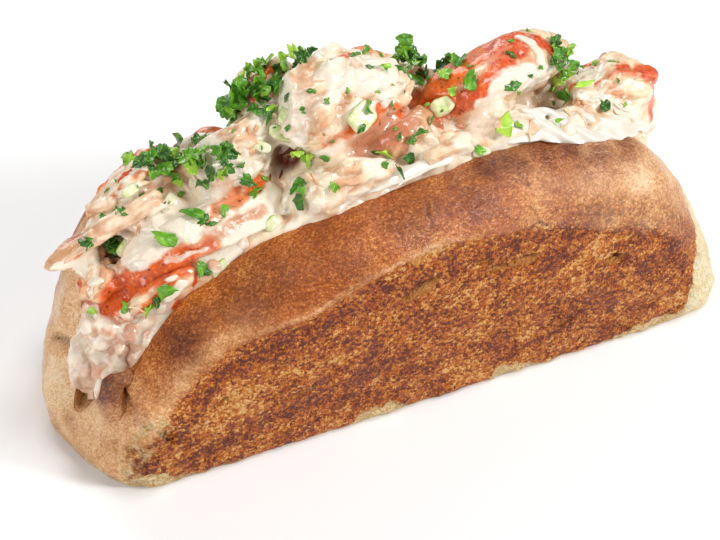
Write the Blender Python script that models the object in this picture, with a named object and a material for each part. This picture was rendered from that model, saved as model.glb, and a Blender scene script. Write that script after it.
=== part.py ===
"""A lobster roll: a top-split bun, the salad that fills its cleft, and the pieces of lobster heaped on it.

Every length is in millimetres until a mesh is written. +X runs along the bun, +Z is up, and the origin
is in the middle of the flat base. The side at -Y is the toasted side that faces the eater.
"""

from collections import namedtuple

import bmesh
import bpy
import numpy as np
from mathutils import Matrix, Vector
from mathutils.bvhtree import BVHTree

MM = 0.001

# The bun: its plan is nearly a rectangle with shallow rounded ends.
BUN_LENGTH = 157.0
BUN_WIDTH = 53.5
PLAN_POWER_X = 30.0  # with the next: how tight the corners are, seen from above
PLAN_POWER_Y = 6.0
END_BOW = 8.0  # how much shorter the bun is along its sides than down its middle
END_BOW_POWER = 1.4
SPINE_HALF = 50.0  # the straight sides hang on this middle line, and the ends fan out from its tips
BASE_ROUND = 2.0
SIDE_BOW = 0.6  # how far the sides swell out between base and shoulder
DOME_POWER = 2.1  # section of the dome over the long sides, where 2 would be an ellipse
END_POWER = 1.25  # section of the ends, where 1 would be a straight slope
END_BLEND = 20.0  # over how much of the length the one section turns into the other
SIDE_STEPS = (0.15, 0.5, 1.0)  # heights of the side's rings, from the base's rounding (0) to the shoulder (1)

# Where the flat side ends and the dome starts: x along the side, and its height. Both sides are alike.
SHOULDER = (
    (-69.0, 8.0), (-65.0, 10.0), (-57.0, 20.0), (-48.0, 27.0), (-26.0, 35.0), (-11.0, 40.0), (4.0, 41.5),
    (19.0, 39.5), (39.0, 32.5), (56.0, 25.0), (63.0, 15.0), (71.0, 8.0),
)  # fmt: skip
END_SHOULDER = 7.0
SHOULDER_UNDER_LIP = 2.0  # the dome rises at least this much

# The top edge of the cleft, once round, seen from above anticlockwise: a notch at each end, a wall on
# each side, and at the left end the near wall's flap.
LIP = (
    (76.0, 0.0, 10.0), (71.0, 6.0, 20.0), (66.0, 10.0, 31.0), (58.0, 13.0, 39.5), (41.0, 14.5, 46.5),
    (1.0, 15.0, 51.0), (-41.0, 16.0, 50.0), (-55.0, 15.0, 47.5), (-62.5, 11.0, 42.0), (-66.5, 7.0, 34.0),
    (-69.0, 3.0, 21.0), (-73.0, -3.0, 13.0), (-75.0, -8.0, 10.5), (-72.0, -13.0, 16.0),
    (-68.0, -17.0, 24.0), (-65.0, -15.5, 22.5), (-59.0, -14.5, 30.0), (-48.0, -14.0, 38.5),
    (-31.0, -13.5, 45.5), (5.0, -13.5, 50.0), (19.0, -13.5, 51.5), (39.0, -13.0, 49.0),
    (53.0, -12.5, 44.0), (59.5, -12.0, 37.0), (65.5, -9.5, 28.5), (72.0, -5.0, 17.0),
)  # fmt: skip

# The cleft: how far in from the lip (0) to the floor (1), and how far down, for each step of the wall.
CLEFT_STEPS = ((0.06, 0.01), (0.14, 0.07), (0.22, 0.24), (0.33, 0.52), (0.5, 0.84), (1.0, 1.0))
FLOOR_HEIGHT = 9.5
FLOOR_HALF_LENGTH = 67.0
FLOOR_HALF_WIDTH = 3.0

ROUND_COUNT = 84  # points once round the bun
OUTLINE_COUNT = 8000  # points of the outline that lengths are measured on
DOME_STEPS = 5
GAP = 0.35  # clear space that neighbours keep
REST_GAP = 1.05  # clear space between a piece and the bread under it

# The salad under the large pieces.
SALAD_STEPS = (0.92, 0.72, 0.5, 0.25)  # rings of its top, from its edge (1) to the middle line (0)
SALAD_EDGE_STEP = 2  # the step of the cleft's wall at which its edge lies
SALAD_RISE = 15.0
SALAD_CLEARANCE = 1.0
SALAD_CREST = 55.0
SALAD_WALL_GAP = 0.525
PROBE_X = (-5.0, -2.5, 0.0, 2.5, 5.0)  # it stays under a piece that lies this near to one of its points
PROBE_Y = (-3.0, -1.5, 0.0, 1.5, 3.0)

# One piece of lobster: centre, then length, width and height, then heading, pitch and roll in degrees.
# taper narrows its front end (minus: its back end), bend arches it, lump is how uneven its skin is.
Piece = namedtuple("Piece", "name centre size turn taper bend lump seed finish")
PIECES = (
    Piece("claw", (26.0, 2.0, 57.5), (39.0, 17.0, 15.0), (8.0, 12.0, -15.0), 0.25, 2.5, 0.06, 1, "claw"),
    Piece("tail_end", (52.0, -2.0, 47.0), (23.0, 16.0, 17.0), (15.0, 0.0, 0.0), -0.1, 0.0, 0.10, 2, "tail"),
    Piece("tail_scrap", (58.0, 7.0, 46.0), (15.0, 9.0, 9.0), (-10.0, 5.0, 0.0), 0.2, 1.0, 0.12, 3, "tail"),
    Piece("tail_middle", (-10.0, 2.0, 62.0), (29.0, 20.0, 21.0), (12.0, 14.0, 0.0), 0.1, 1.0, 0.12, 4, "tail"),
    Piece("knuckle", (2.5, -4.5, 53.5), (18.0, 11.0, 12.0), (10.0, 10.0, 0.0), 0.1, 1.0, 0.08, 5, "knuckle"),
    Piece("front_tail", (-14.0, -8.0, 49.5), (26.0, 13.0, 15.0), (5.0, 4.0, 0.0), 0.1, 1.0, 0.12, 6, "tail"),
    Piece("left_tail", (-31.0, 3.0, 57.0), (27.0, 16.0, 14.0), (8.0, 10.0, 0.0), -0.1, 1.0, 0.10, 7, "tail"),
    Piece("claw_leaf", (-43.0, -5.0, 44.5), (38.0, 18.0, 10.0), (6.0, 8.0, 24.0), -0.2, 2.0, 0.06, 8, "claw"),
    Piece("leg", (-57.5, 2.0, 47.5), (29.0, 5.0, 5.0), (10.0, 12.0, 0.0), -0.45, 2.5, 0.04, 9, "knuckle"),
    Piece("left_back_tail", (-52.0, 7.0, 49.5), (25.0, 12.0, 14.0), (8.0, 8.0, 0.0), -0.2, 1.5, 0.10, 10, "tail"),
    Piece("left_tip", (-69.0, 2.5, 42.0), (14.0, 7.0, 5.0), (8.0, 2.0, 10.0), -0.5, 0.5, 0.08, 11, "knuckle"),
    Piece("left_curl", (-64.5, -3.0, 38.0), (13.0, 8.0, 8.0), (20.0, -10.0, 0.0), -0.2, 1.0, 0.12, 12, "tail"),
    Piece("left_low", (-63.5, -6.0, 30.0), (15.0, 12.0, 13.0), (0.0, 0.0, 0.0), 0.0, 0.0, 0.12, 13, "claw"),
    Piece("notch_piece", (-69.5, -4.0, 20.0), (10.0, 9.0, 14.0), (25.0, 0.0, 0.0), -0.2, 0.5, 0.14, 14, "tail"),
    Piece("claw_tip", (-55.0, -10.5, 37.5), (20.0, 7.0, 9.0), (4.0, 14.0, 20.0), -0.35, 1.5, 0.05, 15, "claw"),
    Piece("rim_left", (9.5, -10.0, 52.0), (16.0, 8.0, 7.0), (0.0, 3.0, 0.0), 0.1, 0.5, 0.14, 16, "tail"),
    Piece("rim_middle", (24.0, -9.0, 52.5), (15.0, 9.0, 7.0), (0.0, 0.0, 0.0), 0.1, 0.5, 0.14, 17, "tail"),
    Piece("rim_right", (39.0, -9.0, 49.5), (16.0, 8.0, 6.0), (0.0, -8.0, 0.0), 0.2, 0.5, 0.14, 18, "tail"),
    Piece("back_top", (-23.0, 11.0, 64.0), (15.0, 10.0, 10.0), (10.0, 10.0, 0.0), 0.1, 0.5, 0.12, 19, "tail"),
    Piece("back_middle", (4.0, 12.0, 57.0), (22.0, 11.0, 13.0), (-5.0, 0.0, 0.0), 0.1, 1.0, 0.12, 20, "tail"),
    Piece("back_right", (36.0, 11.0, 50.0), (24.0, 10.0, 10.0), (-5.0, -8.0, 0.0), 0.2, 1.0, 0.10, 21, "claw"),
    Piece("back_left", (-35.0, 13.0, 52.0), (17.0, 7.0, 7.0), (3.0, 3.0, 0.0), 0.1, 0.5, 0.12, 22, "knuckle"),
)
PIECE_RINGS = 9
PIECE_SIDES = 12
PIECE_POWER = 2.4  # how blunt the ends are, where 2 would be an ellipse
CORE_SHARE = 0.75  # the middle line that the skin hangs on, as a share of the length
ARCH_DROP = 0.6  # how far an arched piece sits below its crown, as a share of its bend
PRESS_REACH = 1.4  # pieces touch when their lines are nearer than this many of their radii
LEAST_SHARE = 0.02  # of the way from line to skin that pressing always leaves

# What makes a skin uneven: sine waves with a size, turns round the piece and radians along its half.
WAVES = ((1.0, 2, 2.1), (0.8, 3, -3.4), (0.7, 1, 5.0), (0.5, 4, 6.0))

FINISHES = {  # colour (sRGB) and roughness
    "crust": ((0.69, 0.42, 0.22), 0.45),
    "salad": ((0.93, 0.88, 0.80), 0.30),
    "tail": ((0.93, 0.83, 0.73), 0.32),
    "claw": ((0.84, 0.33, 0.18), 0.30),
    "knuckle": ((0.87, 0.60, 0.45), 0.32),
}


def clear_scene():
    for old in list(bpy.data.objects):
        bpy.data.objects.remove(old)


def finish(name):
    """The Principled material of one finish, made on first use."""
    material = bpy.data.materials.get(name)
    if material:
        return material
    colour, roughness = FINISHES[name]
    material = bpy.data.materials.new(name)
    material.use_nodes = True
    shader = material.node_tree.nodes["Principled BSDF"]
    linear = [((c + 0.055) / 1.055) ** 2.4 for c in colour]
    shader.inputs["Base Color"].default_value = (*linear, 1.0)
    shader.inputs["Roughness"].default_value = roughness
    return material


def add_solid(name, points, faces, finish_name):
    """One closed body from points in mm and faces that share them."""
    mesh = bpy.data.meshes.new(name)
    mesh.from_pydata((np.asarray(points) * MM).tolist(), [], faces)
    shape = bmesh.new()
    shape.from_mesh(mesh)
    bmesh.ops.recalc_face_normals(shape, faces=shape.faces)
    bmesh.ops.triangulate(shape, faces=shape.faces)
    shape.to_mesh(mesh)
    shape.free()
    mesh.shade_smooth()
    mesh.materials.append(finish(finish_name))
    solid = bpy.data.objects.new(name, mesh)
    bpy.context.scene.collection.objects.link(solid)
    return solid


def loft_faces(rings, around):
    """Triangles between neighbouring rings, and one flat face over the first ring and over the last.

    Every square is split the same way, so that a wall and the lining that follows it stay parallel.
    """
    faces = []
    for r in range(rings - 1):
        for i in range(around):
            a, b = r * around + i, r * around + (i + 1) % around
            faces += [(a, b, b + around), (a, b + around, a + around)]
    first = tuple(range(around))[::-1]
    last = tuple(range((rings - 1) * around, rings * around))
    return faces + [first, last]


def through(where, knots, values, period=None):
    """A smooth curve through the knots that never overshoots them: cubic pieces with limited slopes."""
    knots, values = np.asarray(knots, float), np.asarray(values, float)
    order = np.argsort(knots)
    knots, values = knots[order], values[order]
    if period:
        knots = np.concatenate([knots[-2:] - period, knots, knots[:2] + period])
        values = np.concatenate([values[-2:], values, values[:2]])
    step = np.diff(knots)
    rise = np.diff(values) / step
    slope = np.zeros_like(values)
    same = rise[:-1] * rise[1:] > 0
    before, after = 2 * step[1:] + step[:-1], step[1:] + 2 * step[:-1]
    safe_left = np.where(rise[:-1] == 0, 1, rise[:-1])
    safe_right = np.where(rise[1:] == 0, 1, rise[1:])
    slope[1:-1] = np.where(same, (before + after) / (before / safe_left + after / safe_right), 0)
    where = np.clip(where, knots[0], knots[-1])
    piece = np.clip(np.searchsorted(knots, where, side="right") - 1, 0, len(step) - 1)
    width = step[piece]
    t = (where - knots[piece]) / width
    return (
        values[piece] * (1 + 2 * t) * (1 - t) ** 2
        + values[piece + 1] * t * t * (3 - 2 * t)
        + width * t * (1 - t) * (slope[piece] * (1 - t) - slope[piece + 1] * t)
    )


def plan_outline(count):
    """Points once round the widest outline, evenly spaced, with the length along it: (x, y, distance)."""
    turn = np.linspace(0.0, 2 * np.pi, OUTLINE_COUNT + 1)
    c, s = np.cos(turn), np.sin(turn)
    x = BUN_LENGTH / 2 * np.sign(c) * np.abs(c) ** (2 / PLAN_POWER_X)
    y = BUN_WIDTH / 2 * np.sign(s) * np.abs(s) ** (2 / PLAN_POWER_Y)
    x -= END_BOW * np.sign(c) * np.abs(y / (BUN_WIDTH / 2)) ** END_BOW_POWER
    distance = np.concatenate([[0.0], np.cumsum(np.hypot(np.diff(x), np.diff(y)))])
    at = np.linspace(0.0, distance[-1], count, endpoint=False)
    return np.interp(at, distance, x), np.interp(at, distance, y), at, distance[-1]


def lip_curve(distance, total):
    """For each distance round the outline: how far out the lip lies (1 is the outline), and its height."""
    x, y, at, _ = plan_outline(OUTLINE_COUNT // 2)
    anchor = np.clip(x, -SPINE_HALF, SPINE_HALF)
    knots, reach, height = [], [], []
    for lip_x, lip_y, lip_z in LIP:
        start = np.clip(lip_x, -SPINE_HALF, SPINE_HALF)
        if abs(lip_x) < SPINE_HALF:
            miss = np.abs(x - lip_x) + 1000.0 * (np.sign(y) != np.sign(lip_y))
        else:
            across = (x - start) * lip_y - y * (lip_x - start)
            behind = ((x - start) * (lip_x - start) + y * lip_y <= 0) | (anchor != start)
            miss = np.abs(across) / np.hypot(x - start, y).clip(1e-6) + 1000.0 * behind
        best = int(np.argmin(miss))
        knots.append(at[best])
        reach.append(np.hypot(lip_x - start, lip_y) / np.hypot(x[best] - start, y[best]))
        height.append(lip_z)
    return through(distance, knots, reach, total), through(distance, knots, height, total)


def bun_rings(count):
    """The rings of the bun from its base up the outside, over the lip and down to the cleft's floor."""
    x, y, at, total = plan_outline(count)
    reach, lip = lip_curve(at, total)
    anchor = np.clip(x, -SPINE_HALF, SPINE_HALF)
    side_x, side_z = zip(*SHOULDER)
    shoulder = np.where(np.abs(x) < side_x[-1], through(x, side_x, side_z), END_SHOULDER)
    shoulder = np.minimum(shoulder, lip - SHOULDER_UNDER_LIP)
    flatness = np.abs(y) / (BUN_WIDTH / 2)
    endness = ((np.abs(x) - SPINE_HALF) / END_BLEND).clip(0, 1)
    power = DOME_POWER + (END_POWER - DOME_POWER) * endness

    def ring(out, z):
        return np.stack([anchor + out * (x - anchor), out * y, z + 0 * x], -1)

    inset = BASE_ROUND / (BUN_WIDTH / 2)
    halfway = 1 - np.sqrt(0.5)  # the middle of a quarter round lies this far in, and this far up
    rings = [ring(1 - inset, 0.0), ring(1 - halfway * inset, halfway * BASE_ROUND)]
    for part in SIDE_STEPS:
        bow = SIDE_BOW / (BUN_WIDTH / 2) * np.sin(np.pi * part) * flatness
        rings.append(ring(1 + bow, BASE_ROUND + (shoulder - BASE_ROUND) * part))
    for step in range(1, DOME_STEPS + 1):
        angle = np.pi / 2 * step / DOME_STEPS
        out = reach + (1 - reach) * max(np.cos(angle), 0.0) ** (2 / power)
        rings.append(ring(out, shoulder + (lip - shoulder) * np.sin(angle) ** (2 / power)))
    crest = rings[-1]
    middle = np.clip(crest[:, 0], -FLOOR_HALF_LENGTH, FLOOR_HALF_LENGTH)
    away = np.stack([crest[:, 0] - middle, crest[:, 1]], -1)
    away *= FLOOR_HALF_WIDTH / np.linalg.norm(away, axis=1, keepdims=True)
    floor = np.stack([middle + away[:, 0], away[:, 1], FLOOR_HEIGHT + 0 * middle], -1)
    for inward, down in CLEFT_STEPS:
        plan = crest[:, :2] + (floor[:, :2] - crest[:, :2]) * inward
        rings.append(np.column_stack([plan, crest[:, 2] + (floor[:, 2] - crest[:, 2]) * down]))
    return np.array(rings)


def turn_matrix(heading, pitch, roll):
    """Roll about the piece's own length, then pitch up, then heading, as a 3 x 3 array."""
    heading, pitch, roll = np.radians([heading, pitch, roll])
    turned = Matrix.Rotation(heading, 3, "Z") @ Matrix.Rotation(-pitch, 3, "Y") @ Matrix.Rotation(roll, 3, "X")
    return np.array(turned)


def piece_shape(piece):
    """(skin, core): the grid of the piece's skin, and for each skin point the point inside it hangs on.

    The skin is an ellipse carried along an arched line: its radius grows and shrinks as a blunt
    ellipse, narrower towards one end, and sine waves along it and round it make it uneven.
    """
    length, width, height = piece.size
    rows = np.linspace(-1.0, 1.0, PIECE_RINGS + 2)
    along = np.sin(rows * np.pi / 2)[:, None]
    round_it = np.linspace(0, 2 * np.pi, PIECE_SIDES, endpoint=False)[None, :]
    radius = (1 - np.abs(along) ** PIECE_POWER).clip(0) ** 0.5 * (1 - piece.taper * along)
    phase = np.random.default_rng(piece.seed).uniform(0, 2 * np.pi, len(WAVES))
    uneven = sum(
        size * np.sin(turns * round_it + run * along + shift) for (size, turns, run), shift in zip(WAVES, phase)
    )
    radius = radius * (1 + piece.lump * uneven)
    arch = piece.bend * (1 - along**2 - ARCH_DROP)
    x = along * length / 2 + 0 * round_it
    skin = np.stack([x, radius * width / 2 * np.cos(round_it), radius * height / 2 * np.sin(round_it) + arch], -1)
    core = np.stack([CORE_SHARE * x, 0 * x, arch + 0 * x], -1)
    rotate = turn_matrix(*piece.turn).T
    return skin @ rotate + piece.centre, core @ rotate + piece.centre


def nearest_between(a0, a1, b0, b1):
    """The closest points of two straight lines between end points, found on a fine grid of both."""
    share = np.linspace(0, 1, 61)[:, None]
    a = a0 + (a1 - a0) * share
    b = b0 + (b1 - b0) * share
    apart = np.linalg.norm(a[:, None] - b[None], axis=-1)
    i, j = np.unravel_index(np.argmin(apart), apart.shape)
    return a[i], b[j], apart[i, j]


def press_apart(skins, cores):
    """Neighbours meet at a flat face between their middle lines, as soft pieces do, with GAP left clear."""
    lines = [(core[1].mean(0), core[-2].mean(0)) for core in cores]
    width = [0.25 * (piece.size[1] + piece.size[2]) for piece in PIECES]
    for i in range(len(PIECES)):
        for j in range(i + 1, len(PIECES)):
            near_i, near_j, apart = nearest_between(*lines[i], *lines[j])
            if apart > PRESS_REACH * (width[i] + width[j]) + GAP:
                continue
            toward = (near_j - near_i) / apart
            meet = near_i + toward * apart * width[i] / (width[i] + width[j])
            for k, sign in ((i, 1.0), (j, -1.0)):
                room = (meet - cores[k]) @ (sign * toward) - GAP / 2
                reach = (skins[k] - cores[k]) @ (sign * toward)
                share = np.where(reach > room, room / np.maximum(reach, 1e-6), 1.0)
                skins[k] = cores[k] + (skins[k] - cores[k]) * share.clip(LEAST_SHARE, 1)[..., None]


def rest_on(skin, core, tree, clearance):
    """Draws each skin point back towards its core until the bun's surface is the clearance below it."""
    for index in np.ndindex(skin.shape[:2]):
        start, end = core[index], skin[index]
        for share in np.linspace(1.0, 0.0, 25):
            place = start + (end - start) * share
            hit = tree.ray_cast(Vector((place[0], place[1], 200.0)), Vector((0, 0, -1)))[0]
            if hit is None or place[2] > hit.z + clearance:
                break
        skin[index] = place


def piece_solid(piece, skin):
    """Closes the grid with one point at each end."""
    rings = skin[1:-1]
    count, around = rings.shape[:2]
    points = np.vstack([rings.reshape(-1, 3), skin[0].mean(0), skin[-1].mean(0)])
    faces = loft_faces(count, around)[:-2]
    back, front = count * around, count * around + 1
    last = (count - 1) * around
    for i in range(around):
        following = (i + 1) % around
        faces.append((back, following, i))
        faces.append((front, last + i, last + following))
    return add_solid(piece.name, points, faces, piece.finish)


def salad_solid(rings, piece_trees):
    """The salad: the cleft's own wall drawn in by the gap, closed by a mounded top under the pieces."""
    wall = rings[-len(CLEFT_STEPS):]
    around = wall.shape[1]
    sideways = np.roll(wall, -1, 1) - np.roll(wall, 1, 1)
    upward = np.gradient(wall, axis=0)
    outward = np.cross(sideways, upward)
    outward /= np.linalg.norm(outward, axis=2, keepdims=True)
    wall = wall + outward * SALAD_WALL_GAP * np.sign(outward[..., 2:3].mean())
    wall[-1, :, 2] = FLOOR_HEIGHT + GAP
    wall = wall[SALAD_EDGE_STEP:]
    edge = wall[0]
    middle = np.clip(edge[:, 0], -SPINE_HALF, SPINE_HALF)
    top = []
    for share in SALAD_STEPS:
        x = middle + (edge[:, 0] - middle) * share
        y = edge[:, 1] * share
        z = edge[:, 2] + SALAD_RISE * (1 - share**2)
        top.append(np.stack([x, y, np.minimum(z, SALAD_CREST)], -1))
    for ring in top:
        for point in ring:
            for dx in PROBE_X:
                for dy in PROBE_Y:
                    below = Vector((point[0] + dx, point[1] + dy, 0.0))
                    for tree in piece_trees:
                        hit = tree.ray_cast(below, Vector((0, 0, 1)))[0]
                        if hit is not None:
                            point[2] = min(point[2], hit.z - SALAD_CLEARANCE)
    loft = np.array(top[::-1] + list(wall))
    return add_solid("salad", loft.reshape(-1, 3), loft_faces(len(loft), around), "salad")


def tree_of(solid):
    """A search tree of a solid's faces, in mm."""
    points = [vertex.co / MM for vertex in solid.data.vertices]
    return BVHTree.FromPolygons(points, [tuple(face.vertices) for face in solid.data.polygons])


clear_scene()
rings = bun_rings(ROUND_COUNT)
bun = add_solid("bun", rings.reshape(-1, 3), loft_faces(len(rings), ROUND_COUNT), "crust")
shapes = [piece_shape(piece) for piece in PIECES]
skins = [skin for skin, _ in shapes]
cores = [core for _, core in shapes]
press_apart(skins, cores)
bun_tree = tree_of(bun)
trees = []
for piece, skin, core in zip(PIECES, skins, cores):
    rest_on(skin, core, bun_tree, REST_GAP)
    trees.append(tree_of(piece_solid(piece, skin)))
salad_solid(rings, trees)
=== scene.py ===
# %% [markdown]
# # A lobster roll
# A lobster roll is a soft bun, split along its top and griddled in butter on its two flat sides, with cold
# lobster in mayonnaise heaped along the split. Every part is worked out as a surface in numpy: a function of
# two numbers, evaluated on a grid. So the shapes stay readable as formulas, and every bump has a reason.

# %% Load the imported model, the frame that every piece is placed in
from collections import namedtuple

import bpy
import numpy as np
from mathutils import Matrix, Vector
from mathutils.bvhtree import BVHTree


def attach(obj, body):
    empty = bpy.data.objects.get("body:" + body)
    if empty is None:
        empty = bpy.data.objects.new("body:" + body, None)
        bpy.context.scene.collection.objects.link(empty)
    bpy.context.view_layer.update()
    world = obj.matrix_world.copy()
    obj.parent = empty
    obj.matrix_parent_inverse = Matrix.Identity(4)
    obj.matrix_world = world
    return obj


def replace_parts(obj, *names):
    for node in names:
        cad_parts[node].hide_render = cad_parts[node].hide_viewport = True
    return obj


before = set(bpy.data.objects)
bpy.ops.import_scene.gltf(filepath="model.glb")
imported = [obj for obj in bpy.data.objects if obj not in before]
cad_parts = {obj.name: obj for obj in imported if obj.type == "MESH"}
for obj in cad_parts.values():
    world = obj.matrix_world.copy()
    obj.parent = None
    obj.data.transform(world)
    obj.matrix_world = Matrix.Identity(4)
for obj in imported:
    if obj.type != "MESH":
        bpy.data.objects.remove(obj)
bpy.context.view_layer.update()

MM = 0.001  # shapes are worked out in millimetres, and Blender keeps metres

# %% [markdown]
# ## Small tools
# Food is never even, so most shapes lean on noise. Soft noise blends random numbers between the corners of
# cubes; stretched cubes give fibres and streaks. Scattered points give holes and curds. Both are worked out
# for a whole array at once.

# %% Curves and noise
def fade(x, low, high):
    """0 below low, 1 above high, and an S curve between: 3t^2 - 2t^3."""
    t = ((x - low) / (high - low)).clip(0, 1)
    return t * t * (3 - 2 * t)


def lattice(cell, seed):
    """A repeatable random number from 0 to 1 for each whole cell (x, y, z), by mixing its bits."""
    x, y, z = (cell[..., k].astype(np.uint32) for k in range(3))
    mix = x * np.uint32(374761393) + y * np.uint32(668265263) + z * np.uint32(2147483629)
    mix = mix + np.uint32(seed * 144665 + 97)
    mix = (mix ^ (mix >> np.uint32(13))) * np.uint32(1274126177)
    return (mix ^ (mix >> np.uint32(16))) / 2.0**32


def blobs(place, size, seed=0):
    """Soft noise from -1 to 1: random numbers at the corners of boxes of that size, blended by S curves."""
    place = np.asarray(place) / size
    corner = np.floor(place).astype(np.int64)
    part = place - corner
    part = part * part * (3 - 2 * part)
    total = 0.0
    for step in np.ndindex(2, 2, 2):
        share = np.where(step, part, 1 - part).prod(-1)
        total = total + share * lattice(corner + step, seed)
    return 2 * total - 1


def rough(place, size, seed=0, layers=3):
    """Soft noise at several sizes, each half as wide and half as strong as the one before."""
    sizes = [np.asarray(size) * 0.5**k for k in range(layers)]
    total = sum(blobs(place, s, seed + 7 * k) * 0.5**k for k, s in enumerate(sizes))
    return total / (2 - 0.5 ** (layers - 1))


LINE = np.linspace(0, 9, 4)[:, None] * (1, 1, 1)
print("soft noise at four places:", rough(LINE, 3.0).round(2))


# %% Scattered points, lines and smooth curves
def scattered(place, size, seed=0):
    """The distance to the nearest of many points, one in each box of that size, and that point's number."""
    place = np.asarray(place) / size
    corner = np.floor(place).astype(np.int64)
    nearest = np.full(place.shape[:-1], 9.0)
    owner = np.zeros(place.shape[:-1])
    for step in np.ndindex(3, 3, 3):
        cell = corner + step - 1
        point = cell + np.stack([lattice(cell, seed + k) for k in (1, 2, 3)], -1)
        away = np.linalg.norm(place - point, axis=-1)
        owner = np.where(away < nearest, lattice(cell, seed + 4), owner)
        nearest = np.minimum(nearest, away)
    return nearest, owner


def off_line(place, knots):
    """The distance from each place to a line of straight pieces through the knots."""
    knots = np.asarray(knots, float)
    best = np.full(place.shape[:-1], 1e9)
    for a, b in zip(knots[:-1], knots[1:]):
        t = ((place - a) @ (b - a) / ((b - a) @ (b - a))).clip(0, 1)
        best = np.minimum(best, np.linalg.norm(place - a - t[..., None] * (b - a), axis=-1))
    return best


def through(where, knots, values, period=None):
    """A smooth curve through the knots that never overshoots them: cubic pieces with limited slopes."""
    knots, values = np.asarray(knots, float), np.asarray(values, float)
    order = np.argsort(knots)
    knots, values = knots[order], values[order]
    if period:
        knots = np.concatenate([knots[-2:] - period, knots, knots[:2] + period])
        values = np.concatenate([values[-2:], values, values[:2]])
    step = np.diff(knots)
    rise = np.diff(values) / step
    slope = np.zeros_like(values)
    same = rise[:-1] * rise[1:] > 0
    before, after = 2 * step[1:] + step[:-1], step[1:] + 2 * step[:-1]
    left, right = (np.where(r == 0, 1, r) for r in (rise[:-1], rise[1:]))
    slope[1:-1] = np.where(same, (before + after) / (before / left + after / right), 0)
    where = np.clip(where, knots[0], knots[-1])
    piece = np.clip(np.searchsorted(knots, where, side="right") - 1, 0, len(step) - 1)
    width = step[piece]
    t = (where - knots[piece]) / width
    return (
        values[piece] * (1 + 2 * t) * (1 - t) ** 2
        + values[piece + 1] * t * t * (3 - 2 * t)
        + width * t * (1 - t) * (slope[piece] * (1 - t) - slope[piece + 1] * t)
    )


print("a curve up to 2 and level from there:", through(np.linspace(0, 2, 5), (0, 1, 2), (0, 2, 2)).round(2))


# %% From a grid of points to faces
def squares(rows, columns, first=0):
    """Corner numbers of the squares between neighbouring rows; each row's last point joins its first."""
    r, c = np.meshgrid(np.arange(rows - 1), np.arange(columns), indexing="ij")
    a, b = r * columns + c, r * columns + (c + 1) % columns
    return (np.stack([a, b, b + columns, a + columns], -1) + first).reshape(-1, 4)


def closed_grid(grids):
    """Points and faces of grids (count, rows, columns, 3) whose first and last rows are single points."""
    count, rows, columns, _ = grids.shape
    rings = rows - 2
    points = np.concatenate([grids[:, 1:-1].reshape(count, -1, 3), grids[:, :1, 0], grids[:, -1:, 0]], 1)
    each = points.shape[1]
    c = np.arange(columns)
    d = (c + 1) % columns
    last = (rings - 1) * columns
    start, end = np.full(columns, rings * columns), np.full(columns, rings * columns + 1)
    fans = np.concatenate([np.stack([start, d, c], -1), np.stack([end, last + c, last + d], -1)])
    shift = (np.arange(count) * each)[:, None, None]
    walls = (squares(rings, columns)[None] + shift).reshape(-1, 4)
    return points.reshape(-1, 3), [walls, (fans[None] + shift).reshape(-1, 3)]


def grid_marks(marks):
    """The same reordering for numbers that belong to the points: (count, rows, columns) to one row."""
    count = len(marks)
    parts = [marks[:, 1:-1].reshape(count, -1), marks[:, :1, 0], marks[:, -1:, 0]]
    return np.concatenate(parts, 1).ravel()


def normals_of(grid):
    """Unit normals of a grid whose columns close: the cross product of its two directions."""
    along = np.roll(grid, -1, -2) - np.roll(grid, 1, -2)
    across = np.gradient(grid, axis=-3)
    normal = np.cross(along, across)
    return normal / np.linalg.norm(normal, axis=-1, keepdims=True).clip(1e-9)


def triangles_of(faces):
    """Groups of faces with equal corner counts, as triangles fanned out from each first corner."""
    return np.concatenate([group[:, [0, k, k + 1]] for group in faces for k in range(1, group.shape[1] - 1)])


print("3 rings of 8 points:", len(squares(3, 8)), "squares,", len(triangles_of([squares(3, 8)])), "triangles")


# %% From faces to a piece on the root
def add_piece(name, points, faces, material, marks=None):
    """One object from points in millimetres and groups of faces with equal corner counts, facing outwards.

    marks are named numbers, one for each point, which the material reads.
    """
    tri = points[triangles_of(faces)]
    volume = np.einsum("ij,ij->", tri[:, 0], np.cross(tri[:, 1], tri[:, 2])) / 6
    if volume < 0:
        faces = [group[:, ::-1] for group in faces]
    sizes = np.concatenate([np.full(len(group), group.shape[1]) for group in faces])
    mesh = bpy.data.meshes.new(name)
    mesh.vertices.add(len(points))
    mesh.vertices.foreach_set("co", (points * MM).astype(np.float32).ravel())
    mesh.loops.add(int(sizes.sum()))
    mesh.loops.foreach_set("vertex_index", np.concatenate([g.ravel() for g in faces]).astype(np.int32))
    mesh.polygons.add(len(sizes))
    mesh.polygons.foreach_set("loop_start", (np.cumsum(sizes) - sizes).astype(np.int32))
    mesh.update(calc_edges=True)
    mesh.shade_smooth()
    mesh.materials.append(material)
    for mark, values in (marks or {}).items():
        layer = mesh.attributes.new(mark, "FLOAT", "POINT")
        layer.data.foreach_set("value", np.asarray(values, np.float32).ravel())
    piece = bpy.data.objects.new(name, mesh)
    bpy.context.scene.collection.objects.link(piece)
    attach(piece, "root")
    triangles = int((sizes - 2).sum())
    print(f"{name}: {triangles} triangles, {abs(volume) / 1000:.2f} cm3")
    return piece


print("pieces ride on the root of a frame with", len(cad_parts), "solids")

# %% [markdown]
# ## Finishes
# Each finish is a Principled shader fed by a few patterns. One function turns the hex colours that a painter
# would pick into the linear numbers that a shader counts in, and one function adds a node.

# %% Colours and nodes
def linear(colour):
    """The sRGB hex colour as linear light, channel by channel, with alpha 1."""
    value = np.array([int(colour[k : k + 2], 16) / 255 for k in (1, 3, 5)])
    value = np.where(value <= 0.04045, value / 12.92, ((value + 0.055) / 1.055) ** 2.4)
    return (*value.tolist(), 1.0)


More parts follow.
